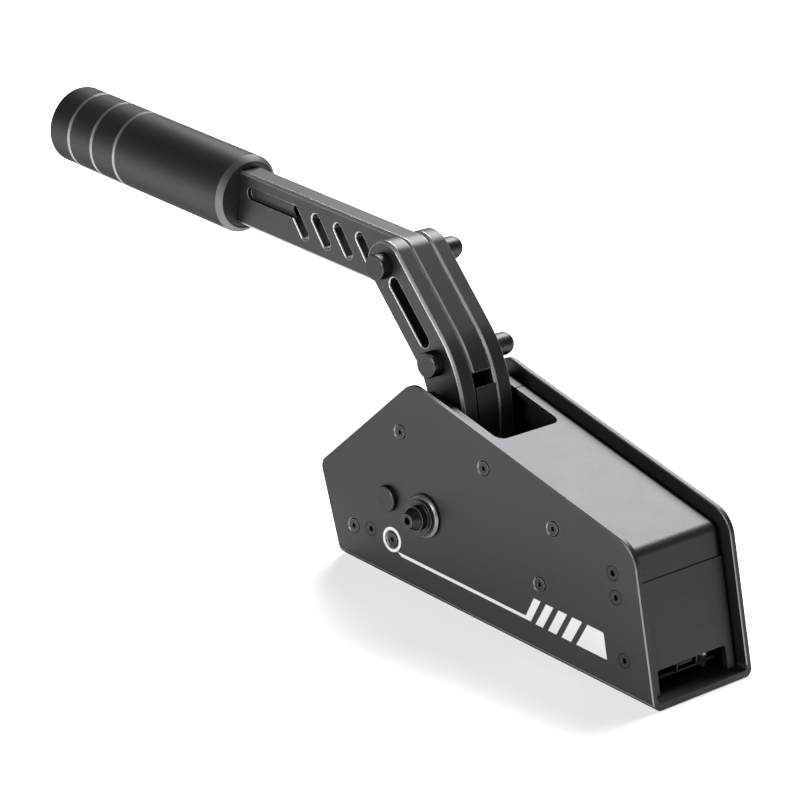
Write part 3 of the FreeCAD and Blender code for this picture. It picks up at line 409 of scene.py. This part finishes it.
def plated_finish(name, colour, roughness):
    """Plated or drawn steel with faint stains."""
    finish = Finish(name, colour, roughness, 1.0)
    place = finish.place()
    streaks = finish.noise(place, 0.6 * MM, 3.0, (0.15, 1.0, 1.0))
    stains = finish.noise(place, 6 * MM, 4.0)
    finish.vary("Base Color", finish.blend(stains, shade(colour, 0.8), shade(colour, 1.1)))
    finish.vary("Roughness", roughness + 0.12 * (streaks - 0.5) + 0.1 * (stains - 0.5))
    finish.bump(streaks, 0.01 * MM, 0.4)
    return finish.material


def moulded_finish(name, colour, roughness, grain):
    """Matt moulded rubber or plastic."""
    finish = Finish(name, colour, roughness)
    place = finish.place()
    speckle = finish.noise(place, grain, 3.0)
    finish.vary("Base Color", finish.blend(speckle, shade(colour, 0.75), shade(colour, 1.3)))
    finish.vary("Roughness", roughness + 0.1 * (speckle - 0.5))
    finish.bump(speckle, 0.03 * MM, 0.5)
    return finish.material


def board_finish(name, colour):
    """Solder resist over copper tracks."""
    finish = Finish(name, colour, 0.3, coat=0.5)
    cells = finish.node("ShaderNodeTexBrick", {"offset": 0.35}, {
        "Vector": finish.place(), "Scale": 1 / (3.2 * MM), "Mortar Size": 0.06,
        "Color1": (0, 0, 0, 1), "Color2": (0, 0, 0, 1), "Mortar": (1, 1, 1, 1),
    })
    tracks = Amount(finish, cells.outputs[1])
    finish.vary("Base Color", finish.blend(tracks, colour, shade(colour, 2.2)))
    finish.vary("Roughness", 0.28 + 0.12 * tracks)
    finish.bump(tracks, 0.03 * MM, 0.6)
    return finish.material


def printed_finish(name, colour):
    """Screen-printed paint with a faint grain."""
    finish = Finish(name, colour, 0.5)
    grain = finish.noise(finish.place(), 0.3 * MM, 2.0)
    finish.vary("Base Color", finish.blend(grain, shade(colour, 0.93), shade(colour, 1.04)))
    finish.vary("Roughness", 0.46 + 0.1 * grain)
    finish.bump(grain, 0.01 * MM, 0.4)
    return finish.material


def finish_named(name):
    """The finish of that name, made when it is first asked for."""
    found = bpy.data.materials.get(name)
    if found:
        return found
    colours = bpy.context.scene.handbrake_colours
    # The colour of the marked edges, partly worn metal and partly a painted highlight
    edge = tuple(colours.worn_and_highlight_edge)
    # What makes each finish, its colour, its roughness and then what else the maker asks for
    makers = {
        "sheet coat": (grained_finish, colours.coat, 0.44, shade(edge, 0.7), 0.5 * MM),
        "black anodised": (grained_finish, colours.anodised, 0.42, edge, 0.45 * MM),
        "black oxide": (grained_finish, colours.oxide, 0.36, shade(edge, 0.3), 0.4 * MM),
        "turned black": (turned_finish, colours.oxide, 0.34, shade(edge, 0.6), 0.35 * MM),
        "ground steel": (plated_finish, colours.steel, 0.28),
        "zinc plate": (plated_finish, colours.zinc, 0.34),
        "satin stainless": (plated_finish, colours.stainless, 0.3),
        "bronze": (plated_finish, colours.bronze, 0.38),
        "rubber": (moulded_finish, colours.rubber, 0.75, 0.4 * MM),
        "moulded black": (moulded_finish, colours.plastic, 0.6, 0.5 * MM),
        "solder resist": (board_finish, colours.board),
        "white print": (printed_finish, colours.print_white),
    }
    maker, colour, *others = makers[name]
    return maker(name, tuple(colour), *others)


def put(name, data):
    """A new object in the scene, for a mesh, a lamp or a camera."""
    made = bpy.data.objects.new(name, data)
    bpy.context.scene.collection.objects.link(made)
    return made


def settled(carrier):
    """The plain mesh of an object with its modifiers applied; the object is removed."""
    bpy.context.view_layer.update()
    evaluated = carrier.evaluated_get(bpy.context.evaluated_depsgraph_get())
    mesh = bpy.data.meshes.new_from_object(evaluated)
    bpy.data.objects.remove(carrier)
    return mesh


def keep_flat(carrier):
    """Shades large faces flat where smaller ones round their edges."""
    normals = carrier.modifiers.new("flat faces stay flat", "WEIGHTED_NORMAL")
    normals.keep_sharp = True


def evenly_shaded(mesh):
    """The same mesh shaded smooth, with its large faces kept flat and its sharp edges sharp."""
    mesh.shade_smooth()
    mesh.set_sharp_from_angle(angle=math.radians(SHARP_DEGREES))
    carrier = put("shaded_" + mesh.name, mesh)
    keep_flat(carrier)
    return settled(carrier)


def new_piece(name, mesh, body, finish, replaced=()):
    """A finished object that rides on a body and may stand for construction nodes."""
    piece = put(name, mesh)
    mesh.materials.clear()
    mesh.materials.append(finish_named(finish))
    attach(piece, body)
    if replaced:
        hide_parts(*replaced)
    return piece


def joined_copy(node):
    """A copy of a node's mesh with its loose triangles joined and its flat faces made whole."""
    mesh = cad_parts[node].data.copy()
    work = bmesh.new()
    work.from_mesh(mesh)
    bmesh.ops.remove_doubles(work, verts=work.verts, dist=MERGE_DISTANCE)
    flat = math.radians(FLAT_DEGREES)
    bmesh.ops.dissolve_limit(work, angle_limit=flat, verts=work.verts, edges=work.edges)
    work.to_mesh(mesh)
    work.free()
    mesh.materials.clear()
    return mesh


def softened(node, body, finish, width, planes=(), reach=0.0, worn_and_highlight_edges=True):
    """A piece that stands for a node: the same shape with its sharp edges rounded a little.

    The rounded edges are marked to be painted bright, partly as worn metal and partly as a painted
    highlight, and so are the slopes within reach of the given distances from the middle plane.
    """
    mesh = joined_copy(node)
    mesh.shade_smooth()
    carrier = put("soft_" + node, mesh)
    for name in ("marks the faces", "marks the edges"):
        mesh.materials.append(bpy.data.materials.get(name) or bpy.data.materials.new(name))
    bevel = carrier.modifiers.new("edges", "BEVEL")
    bevel.width = width
    bevel.segments = 2
    bevel.limit_method = "ANGLE"
    bevel.angle_limit = math.radians(SOFTENED_DEGREES)
    bevel.use_clamp_overlap = False
    bevel.material = 1
    keep_flat(carrier)
    made = settled(carrier)
    values = []
    for face in made.polygons:
        # Sloping faces near the given planes are marked for the painted highlight as well
        sloping = SLOPE_FROM < abs(face.normal.y) < SLOPE_TO
        near = any(abs(abs(face.center.y) - plane) < reach for plane in planes)
        values.append(1.0 if (worn_and_highlight_edges and face.material_index == 1) or (sloping and near) else 0.0)
        face.material_index = 0
    marks = made.attributes.new(EDGE_MARK, "FLOAT", "FACE")
    marks.data.foreach_set("value", values)
    return new_piece("finished_" + node, made, body, finish, (node,))


class Stage(bpy.types.Operator):
    """Floor, soft lamps, world and camera"""

    bl_idname = "handbrake.stage"
    bl_label = "Studio"

    # The camera: its lens and sensor in millimetres, its place and the directions of its axes
    lens = 165.79
    sensor_width = 36.0
    farthest = 50.0
    camera_place = (0.99521969, -1.08530613, 0.6936576)
    camera_right = (0.6845273, 0.72614894, 0.06426581)
    camera_up = (-0.31509931, 0.21523301, 0.92433066)
    camera_back = (0.6573696, -0.65297969, 0.3761419)

    # What the lamps face, and each lamp's name, direction from there, distance, width, height and watts
    middle = (-0.10, 0.0, 0.07)
    lamps = [
        ("top softbox", (-0.34, 0.62, 0.71), 1.5, 1.1, 0.9, 54.0),
        ("left fill", (0.15, -0.95, 0.35), 1.8, 0.8, 0.6, 17.0),
    ]

    floor_roughness = 0.9
    floor_glow = 0.5

    # The world: its colour, its strength overhead, what the horizon adds, and the horizon's height
    sky_colour = (0.97, 0.98, 1.0, 1.0)
    sky_strength = 0.12
    horizon_strength = 0.28
    horizon_height = 0.35

    def execute(self, context):
        self.camera(context)
        self.floor(context.scene.handbrake_sizes.floor_half, tuple(context.scene.handbrake_colours.floor))
        for lamp in self.lamps:
            self.softbox(*lamp)
        self.world(context)
        context.scene.view_settings.view_transform = "Standard"
        return {"FINISHED"}

    def camera(self, context):
        data = bpy.data.cameras.new("camera")
        data.sensor_width = self.sensor_width
        data.lens = self.lens
        data.clip_end = self.farthest
        camera = put("camera", data)
        turn = Matrix((self.camera_right, self.camera_up, self.camera_back)).transposed()
        camera.matrix_world = Matrix.Translation(self.camera_place) @ turn.to_4x4()
        context.scene.camera = camera

    def floor(self, half, colour):
        """A pale plane that the camera and reflections see as white, and that keeps the shadow."""
        mesh = bpy.data.meshes.new("floor")
        corners = [(-half, -half, 0), (half, -half, 0), (half, half, 0), (-half, half, 0)]
        mesh.from_pydata(corners, [], [(0, 1, 2, 3)])
        floor = put("floor", mesh)
        finish = Finish("studio floor", colour, self.floor_roughness)
        path = finish.node("ShaderNodeLightPath")
        rays = ("Is Camera Ray", "Is Glossy Ray", "Is Transmission Ray")
        camera, glossy, transmission = [Amount(finish, path.outputs[ray]) for ray in rays]
        seen = camera + glossy + transmission
        glow = finish.node("ShaderNodeEmission", None, {"Strength": self.floor_glow})
        shown = finish.node("ShaderNodeMixShader", None, {0: seen, 2: glow.outputs[0]})
        both = finish.node("ShaderNodeAddShader", None, {0: finish.surface.outputs[0], 1: shown.outputs[0]})
        finish.feed(finish.tree.nodes["Material Output"].inputs["Surface"], both.outputs[0])
        mesh.materials.append(finish.material)

    def softbox(self, name, direction, distance, width, height, watts):
        """A rectangular lamp that faces the middle of the object."""
        data = bpy.data.lights.new(name, "AREA")
        data.shape = "RECTANGLE"
        data.size = width
        data.size_y = height
        data.energy = watts
        lamp = put(name, data)
        away = Vector(direction).normalized()
        lamp.location = Vector(self.middle) + away * distance
        lamp.rotation_mode = "QUATERNION"
        lamp.rotation_quaternion = (-away).to_track_quat("-Z", "Y")

    def world(self, context):
        """A dim sky that is brighter near the horizon."""
        world = bpy.data.worlds.new("studio")
        world.use_nodes = True
        sky = Tree(world.node_tree)
        height = sky.parts(sky.node("ShaderNodeTexCoord").outputs["Generated"])[2]
        horizon = (1 - height.function("ABSOLUTE") / self.horizon_height).clamped()
        background = world.node_tree.nodes["Background"]
        background.inputs["Color"].default_value = self.sky_colour
        sky.feed(background.inputs["Strength"], self.sky_strength + self.horizon_strength * horizon)
        context.scene.world = world


class Housing(bpy.types.Operator):
    """Folded channel and the three covers inside it"""

    bl_idname = "handbrake.housing"
    bl_label = "Housing"

    # How far inside the outer faces the bevels of the walls' rims lie, and how far about them counts; these
    # bevels are painted bright, partly as worn metal and partly as a painted highlight
    rim_depths = (0.25 * MM, 2.8 * MM)
    rim_reach = 0.4 * MM

    def execute(self, context):
        width = context.scene.handbrake_sizes.sheet_edge
        rims = [HALF_WIDTH - depth for depth in self.rim_depths]
        reach = self.rim_reach
        softened("channel_shell", "root", "sheet coat", width, rims, reach, worn_and_highlight_edges=False)
        for node in ("top_cover", "rear_cover", "front_panel"):
            softened(node, "root", "sheet coat", width, worn_and_highlight_edges=False)
        return {"FINISHED"}


class PrintedStripes(bpy.types.Operator):
    """White ring, line and slanted bars printed on the left wall"""

    bl_idname = "handbrake.printed_stripes"
    bl_label = "Printed stripes"

    # The ring's centre and the heights of the line and bars, as x and z in millimetres
    ring_centre = (-65.1, 19.56)
    ring_steps = 96
    line_low = 13.7
    line_high = 15.2
    line_slant = 3.0
    bar_low = 13.55
    bar_high = 24.95
    # Each bar's top left, top right, low right and low left corner as x, then the corners of the end block
    bars = [
        (23.4, 27.45, 22.8, 18.9),
        (30.7, 35.1, 30.1, 25.7),
        (38.2, 43.3, 38.2, 33.3),
        (46.4, 52.2, 47.0, 41.35),
    ]
    block = [(55.4, 24.95), (64.3, 24.95), (65.0, 24.3), (68.2, 13.55), (50.1, 13.55)]

    def execute(self, context):
        sizes = context.scene.handbrake_sizes
        work = bmesh.new()
        self.ring(work, sizes.ring_inner, sizes.ring_outer)
        self.flat(work, self.line(sizes.ring_outer / MM))
        for top_left, top_right, low_right, low_left in self.bars[1:]:
            high, low = self.bar_high, self.bar_low
            self.flat(work, [(top_left, high), (top_right, high), (low_right, low), (low_left, low)])
        self.flat(work, self.block)
        raised = bmesh.ops.extrude_face_region(work, geom=work.faces[:])
        for item in raised["geom"]:
            if isinstance(item, bmesh.types.BMVert):
                item.co.y = -HALF_WIDTH - sizes.print_thick
        bmesh.ops.recalc_face_normals(work, faces=work.faces)
        mesh = bpy.data.meshes.new("printed_stripes")
        work.to_mesh(mesh)
        work.free()
        new_piece("printed_stripes", mesh, "root", "white print")
        return {"FINISHED"}

    def flat(self, work, outline):
        """A flat face on the wall with the outline's corners."""
        corners = [work.verts.new((x * MM, -HALF_WIDTH, z * MM)) for x, z in outline]
        work.faces.new(corners)

    def circle(self, work, radius):
        """Points on the wall round the ring's centre."""
        x, z = self.ring_centre
        verts = []
        for step in range(self.ring_steps):
            turn = 2 * math.pi * step / self.ring_steps
            across = x * MM + radius * math.cos(turn)
            upward = z * MM + radius * math.sin(turn)
            verts.append(work.verts.new((across, -HALF_WIDTH, upward)))
        return verts

    def ring(self, work, inner_radius, outer_radius):
        inner = self.circle(work, inner_radius)
        outer = self.circle(work, outer_radius)
        for step in range(self.ring_steps):
            following = (step + 1) % self.ring_steps
            work.faces.new((inner[step], inner[following], outer[following], outer[step]))

    def line(self, outer):
        """The outline of the line from the ring and of the first bar, which it runs into."""
        x, z = self.ring_centre
        start = x + math.sqrt(outer ** 2 - (z - self.line_high) ** 2)
        top_left, top_right, low_right, low_left = self.bars[0]
        slope = (top_left - low_left) / (self.bar_high - self.bar_low)
        elbow = low_left + slope * (self.line_high - self.bar_low)
        return [
            (start, self.line_high), (elbow, self.line_high), (top_left, self.bar_high),
            (top_right, self.bar_high), (low_right, self.line_low), (start + self.line_slant, self.line_low),
        ]


class Lever(bpy.types.Operator):
    """Arms, the block between them and the flat bar"""

    bl_idname = "handbrake.lever"
    bl_label = "Lever"

    # Half the milled bevels' width, and how far about their middles counts as bevel, which is painted
    # bright, partly as worn metal and partly as a painted highlight
    half_bevel = 0.55 * MM
    arm_reach = 0.7 * MM
    bar_reach = 0.8 * MM

    def execute(self, context):
        width = context.scene.handbrake_sizes.lever_edge
        bevels = (ARM_OUTER - self.half_bevel, BAR_HALF + self.half_bevel)
        for node in ("lever_arm_left", "lever_arm_right"):
            softened(node, "lever", "black anodised", width, bevels, self.arm_reach)
        bevels = (BAR_HALF - self.half_bevel,)
        softened("grip_bar", "lever", "black anodised", width, bevels, self.bar_reach)
        softened("pivot_block", "lever", "black anodised", width, worn_and_highlight_edges=False)
        return {"FINISHED"}


class Grip(bpy.types.Operator):
    """Tubular grip with its grooves, and the inserts in its bore"""

    bl_idname = "handbrake.grip"
    bl_label = "Grip"

    grooves = 3
    rounding_steps = 8
    # How far a groove's lip is turned down and in, and half its floor
    lip_drop = 0.12 * MM
    lip_width = 0.2 * MM
    floor_half = 0.1 * MM
    # How far outside, inside and below a corner of the open end's bevel its rounding runs
    corner_out = 0.15 * MM
    corner_in = 0.1 * MM
    corner_drop = 0.08 * MM
    # How bright the grooves' outer flanks and the bevel are painted, partly as worn metal and partly as a
    # painted highlight
    flank_worn_and_highlight = 0.7
    bevel_worn_and_highlight = 0.25

    def execute(self, context):
        sizes = context.scene.handbrake_sizes
        form = Form("grip_tube")
        length = form.size("Length", GRIP_HIGH.x - GRIP_LOW.x)
        radius = form.size("Radius", (GRIP_HIGH.y - GRIP_LOW.y) / 2)
        # Z runs from the closed far end down to the open end beside the bar
        rows = [(0.0, 0.0, 0, 0)]
        rows += self.far_end(radius, sizes.grip_rounding)
        rows += self.groove_rows(form, radius, sizes)
        rows += self.open_end(form, radius, length, sizes)
        tube = form.turned(rows, sizes.round_steps)
        placed = form.moved(tube, (GRIP_LOW.x, GRIP_MIDDLE.y, GRIP_MIDDLE.z), (0.0, -math.pi / 2, 0.0))
        mesh = form.piece(placed, "black anodised")
        new_piece("grip_tube", mesh, "lever", "black anodised", ("grip_sleeve",))
        softened("grip_bushings", "lever", "moulded black", sizes.lever_edge, worn_and_highlight_edges=False)
        return {"FINISHED"}

    def far_end(self, radius, rounding):
        """The rounded edge of the closed end."""
        rows = []
        for step in range(self.rounding_steps + 1):
            turn = math.pi / 2 * step / self.rounding_steps
            inward = rounding * (1 - math.sin(turn))
            rows.append((radius - inward, -rounding * (1 - math.cos(turn)), 0, 0))
        return rows

    def groove_rows(self, form, radius, sizes):
        depth = form.size("Groove depth", sizes.groove_depth)
        half = form.size("Groove half width", sizes.groove_half)
        first = form.size("First groove", sizes.groove_first)
        pitch = form.size("Groove pitch", sizes.groove_pitch)
        rows = []
        for groove in range(self.grooves):
            middle = first + groove * pitch
            rows += [
                (radius, 0 - (middle - half), 0, 0),
                (radius - self.lip_drop, 0 - (middle - half + self.lip_width), 0, self.flank_worn_and_highlight),
                (radius - depth, 0 - (middle - self.floor_half), 0, 0),
                (radius - depth, 0 - (middle + self.floor_half), 0, 0),
                (radius - self.lip_drop, 0 - (middle + half - self.lip_width), 0, 0),
                (radius, 0 - (middle + half), 0, 0),
            ]
        return rows

    def open_end(self, form, radius, length, sizes):
        """The bevel, the end face and the bore."""
        bevel = form.size("Bevel", sizes.grip_bevel)
        bore = radius - form.size("Wall", sizes.grip_wall)
        closed = 0 - form.size("End", sizes.grip_end)
        return [
            (radius, 0 - (length - bevel - self.corner_out), 0, 0),
            (radius - self.corner_drop, 0 - (length - bevel + self.corner_in), 0, self.bevel_worn_and_highlight),
            (radius - bevel + self.corner_in, 0 - (length - self.corner_drop), 0, 0),
            (radius - bevel - self.corner_out, 0 - length, 0, 0),
            (bore + self.corner_in, 0 - length, 0, 0),
            (bore, 0 - (length - self.corner_in), 0, 0),
            (bore, closed, 0, 0),
            (0.0, closed, 0, 0),
        ]


class ClampFasteners(bpy.types.Operator):
    """Bolts, washers and dome nuts through the arms"""

    bl_idname = "handbrake.clamp_fasteners"
    bl_label = "Clamp fasteners"

    def execute(self, context):
        width = context.scene.handbrake_sizes.small_edge
        for node in ("clamp_bolts", "clamp_washers", "clamp_nuts"):
            softened(node, "lever", "black oxide", width)
        return {"FINISHED"}


class Pivot(bpy.types.Operator):
    """Bearings, collars, axle and its nut"""

    bl_idname = "handbrake.pivot"
    bl_label = "Pivot"

    # How far outside the walls the bearings' bevels lie, and how far about them counts; these bevels are
    # painted bright, partly as worn metal and partly as a painted highlight
    bevel_height = 1.7 * MM
    bevel_reach = 0.6 * MM

    def execute(self, context):
        width = context.scene.handbrake_sizes.small_edge
        bevels = (HALF_WIDTH + self.bevel_height,)
        for node in ("pivot_bearing_left", "pivot_bearing_right"):
            softened(node, "root", "turned black", width, bevels, self.bevel_reach)
        softened("axle_collars", "lever", "turned black", width)
        softened("pivot_axle", "lever", "turned black", width)
        softened("axle_nut", "lever", "black oxide", width)
        softened("arm_spacers", "lever", "zinc plate", width, worn_and_highlight_edges=False)
        return {"FINISHED"}


class RestStop(bpy.types.Operator):
    """Cross rod, its nut, the bumper and its sleeves"""

    bl_idname = "handbrake.rest_stop"
    bl_label = "Rest stop"

    bumper_edge = 0.3 * MM

    def execute(self, context):
        width = context.scene.handbrake_sizes.small_edge
        softened("stop_rod", "root", "black oxide", width)
        softened("stop_rod_nut", "root", "black oxide", width)
        softened("stop_bumper", "root", "rubber", self.bumper_edge, worn_and_highlight_edges=False)
        softened("stop_rod_sleeves", "root", "moulded black", width, worn_and_highlight_edges=False)
        return {"FINISHED"}


class SideScrews(bpy.types.Operator):
    """Countersunk screws in both walls"""

    bl_idname = "handbrake.side_screws"
    bl_label = "Side screws"

    # Places of the M4 and of the M3 screws, as x and z in millimetres
    wide_places = [(-65.0, 71.5), (-12.5, 72.7), (30.6, 60.2), (25.9, 32.4), (-90.0, 17.25), (-65.1, 19.56)]
    narrow_places = [(-78.9, 19.7), (66.6, 53.2), (69.7, 43.1), (77.8, 17.0)]

    seed = 11
    round_steps = 48
    # The key's share of the head's depth, its bevel, and the cone at its floor and at the shank's end
    key_share = 0.8
    key_bevel = 0.12 * MM
    cone = 0.3 * MM
    # The rim of the head, painted bright partly as worn metal and partly as a painted highlight: its width,
    # the rounding of its edge and the height of its side
    rim_width = 0.25 * MM
    rim_in = 0.04 * MM
    rim_drop = 0.06 * MM
    rim_side = 0.2 * MM

    def execute(self, context):
        sizes = context.scene.handbrake_sizes
        for side, node in ((-1, "side_screws_left"), (1, "side_screws_right")):
            form = Form(node)
            wide = self.screw(form, sizes, "wide")
            narrow = self.screw(form, sizes, "narrow")
            both = form.node("GeometryNodeGeometryToInstance", None, {0: wide})
            form.tree.links.new(narrow, both.inputs[0])
            kind = form.node("GeometryNodeInputNamedAttribute", {"data_type": "INT"}, {"Name": "narrow"})
            twist = form.node("FunctionNodeRandomValue", {"data_type": "FLOAT"}, {
                2: 0.0, 3: math.pi / 3, "Seed": self.seed + side,
            })
            turn = form.vector(0.0, 0.0, twist.outputs[1])
            spun = form.node("FunctionNodeEulerToRotation", None, {0: turn})
            facing = form.node("FunctionNodeEulerToRotation", None, {0: (-side * math.pi / 2, 0.0, 0.0)})
            both_turns = form.node("FunctionNodeRotateRotation", {"rotation_space": "LOCAL"}, {
                0: facing.outputs[0], 1: spun.outputs[0],
            })
            placed = form.node("GeometryNodeInstanceOnPoints", None, {
                "Points": form.entry.outputs[0], "Instance": both.outputs[0], "Pick Instance": True,
                "Instance Index": kind.outputs[0], "Rotation": both_turns.outputs[0],
            })
            mesh = form.piece(placed.outputs[0], "black oxide", self.points(node, side))
            new_piece("set_of_" + node, mesh, "root", "black oxide", (node,))
        return {"FINISHED"}

    def points(self, node, side):
        """A mesh with a point for each screw of a wall, marked where the screw is a narrow one."""
        places = self.wide_places + self.narrow_places
        mesh = bpy.data.meshes.new(node)
        mesh.from_pydata([(x * MM, side * HALF_WIDTH, z * MM) for x, z in places], [], [])
        kinds = mesh.attributes.new("narrow", "INT", "POINT")
        kinds.data.foreach_set("value", [0] * len(self.wide_places) + [1] * len(self.narrow_places))
        return mesh

    def screw(self, form, sizes, kind):
        """One countersunk screw with a hexagon key, its face in the plane z = 0."""
        head, key, depth, shank, length = [
            form.size(f"{kind} {part}".capitalize(), getattr(sizes, f"{kind}_{part}"))
            for part in ("head", "key", "depth", "shank", "length")
        ]
        half_key = key / 2
        floor = 0 - depth * self.key_share
        # The key's edge and the head's rim are painted bright, partly as worn metal and partly as a painted
        # highlight
        rows = [
            (0.0, floor - self.cone, 1, 0),
            (half_key, floor, 1, 0),
            (half_key, -self.key_bevel, 1, 1),
            (half_key + self.key_bevel, 0.0, 1, 0),
            (head - self.rim_width, 0.0, 0, 1),
            (head - self.rim_in, -self.rim_drop, 0, 1),
            (head, -self.rim_side, 0, 0),
            (shank, 0 - depth, 0, 0),
            (shank, self.cone - length, 0, 0),
            (shank - self.cone, 0 - length, 0, 0),
            (0.0, 0 - length, 0, 0),
        ]
        return form.turned(rows, self.round_steps)


class ReturnSpring(bpy.types.Operator):
    """Coil spring that pushes the lever back"""

    bl_idname = "handbrake.return_spring"
    bl_label = "Return spring"

    turn_steps = 40
    wire_steps = 14

    def execute(self, context):
        sizes = context.scene.handbrake_sizes
        form = Form("coil_spring")
        wire = form.size("Wire", sizes.spring_wire)
        length = form.size("Length", SPRING_HIGH.x - SPRING_LOW.x)
        outer = form.size("Outer radius", (SPRING_HIGH.y - SPRING_LOW.y) / 2)
        turns = form.size("Turns", sizes.spring_turns)
        radius = outer - wire / 2
        spiral = form.node("GeometryNodeCurveSpiral", None, {
            "Resolution": self.turn_steps, "Rotations": turns,
            "Start Radius": radius, "End Radius": radius, "Height": length,
        })
        along = Amount(form, form.node("GeometryNodeSplineParameter").outputs[0]) * turns
        # The first and the last turn lie closed against the next one
        first = along.clamped()
        last = (along - (turns - 1)).clamped()
        middle = ((along - 1) / (turns - 2)).clamped()
        height = wire / 2 + wire * (first + last) + (length - 3 * wire) * middle
        x, y, _ = form.parts(form.node("GeometryNodeInputPosition").outputs[0])
        coil = form.node("GeometryNodeSetPosition", None, {
            "Geometry": spiral.outputs[0], "Position": form.vector(x, y, height),
        })
        section = form.node("GeometryNodeCurvePrimitiveCircle", {"mode": "RADIUS"}, {
            "Resolution": self.wire_steps, "Radius": wire / 2,
        })
        tube = form.node("GeometryNodeCurveToMesh", None, {
            "Curve": coil.outputs[0], "Profile Curve": section.outputs[0], "Fill Caps": True,
        })
        start = (SPRING_LOW.x, SPRING_MIDDLE.y, SPRING_MIDDLE.z)
        mesh = form.piece(form.moved(tube.outputs[0], start, (0.0, math.pi / 2, 0.0)), "ground steel")
        piece = new_piece("coil_spring", mesh, "root", "ground steel", ("return_spring",))
        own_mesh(piece)
        return {"FINISHED"}


class InnerWorks(bpy.types.Operator):
    """Blocks, plunger, load cell and electronics inside the housing"""

    bl_idname = "handbrake.inner_works"
    bl_label = "Inner works"

    finishes = {
        "black anodised": ("black_aluminium", ("foot_block", "spring_block")),
        "zinc plate": ("zinc_steel", ("cover_nuts", "base_nuts", "rebound_washer", "board_screws")),
        "ground steel": ("axle_steel", ("roller_pin", "push_roller", "plunger", "retaining_nut")),
        "satin stainless": ("sensor_steel", ("load_cell",)),
        "black oxide": ("sensor_steel", ("data_socket",)),
        "bronze": ("bronze", ("rod_bush", "board_standoffs")),
        "rubber": ("black_rubber", ("travel_spacer",)),
        "moulded black": ("black_plastic", ("sensor_cable",)),
        "solder resist": ("circuit_board", ("controller_board",)),
    }

    def execute(self, context):
        for finish, (slot, nodes) in self.finishes.items():
            for node in nodes:
                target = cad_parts[node]
                target.data.materials.clear()
                target.data.materials.append(finish_named(finish))
        return {"FINISHED"}


class HandbrakePanel(bpy.types.Panel):
    """Lists the pieces in the 3D view's sidebar"""

    bl_idname = "VIEW3D_PT_handbrake"
    bl_label = "Handbrake"
    bl_space_type = "VIEW_3D"
    bl_region_type = "UI"
    bl_category = "Handbrake"

    def draw(self, context):
        column = self.layout.column()
        for piece in PIECES:
            column.operator(piece.bl_idname)
        for group in (context.scene.handbrake_sizes, context.scene.handbrake_colours):
            for name in group.__annotations__:
                column.prop(group, name)


PIECES = [
    Stage, Housing, PrintedStripes, Lever, Grip, ClampFasteners, Pivot, RestStop, SideScrews, ReturnSpring,
    InnerWorks,
]
CLASSES = [HandbrakeSizes, HandbrakeColours, *PIECES, HandbrakePanel]


def register():
    for item in CLASSES:
        bpy.utils.register_class(item)
    bpy.types.Scene.handbrake_sizes = PointerProperty(type=HandbrakeSizes)
    bpy.types.Scene.handbrake_colours = PointerProperty(type=HandbrakeColours)


def unregister():
    del bpy.types.Scene.handbrake_colours
    del bpy.types.Scene.handbrake_sizes
    for item in reversed(CLASSES):
        bpy.utils.unregister_class(item)


def main():
    register()
    bpy.ops.handbrake.stage()
    bpy.ops.handbrake.housing()
    bpy.ops.handbrake.printed_stripes()
    bpy.ops.handbrake.lever()
    bpy.ops.handbrake.grip()
    bpy.ops.handbrake.clamp_fasteners()
    bpy.ops.handbrake.pivot()
    bpy.ops.handbrake.rest_stop()
    bpy.ops.handbrake.side_screws()
    bpy.ops.handbrake.return_spring()
    bpy.ops.handbrake.inner_works()


if __name__ == "__main__":
    main()
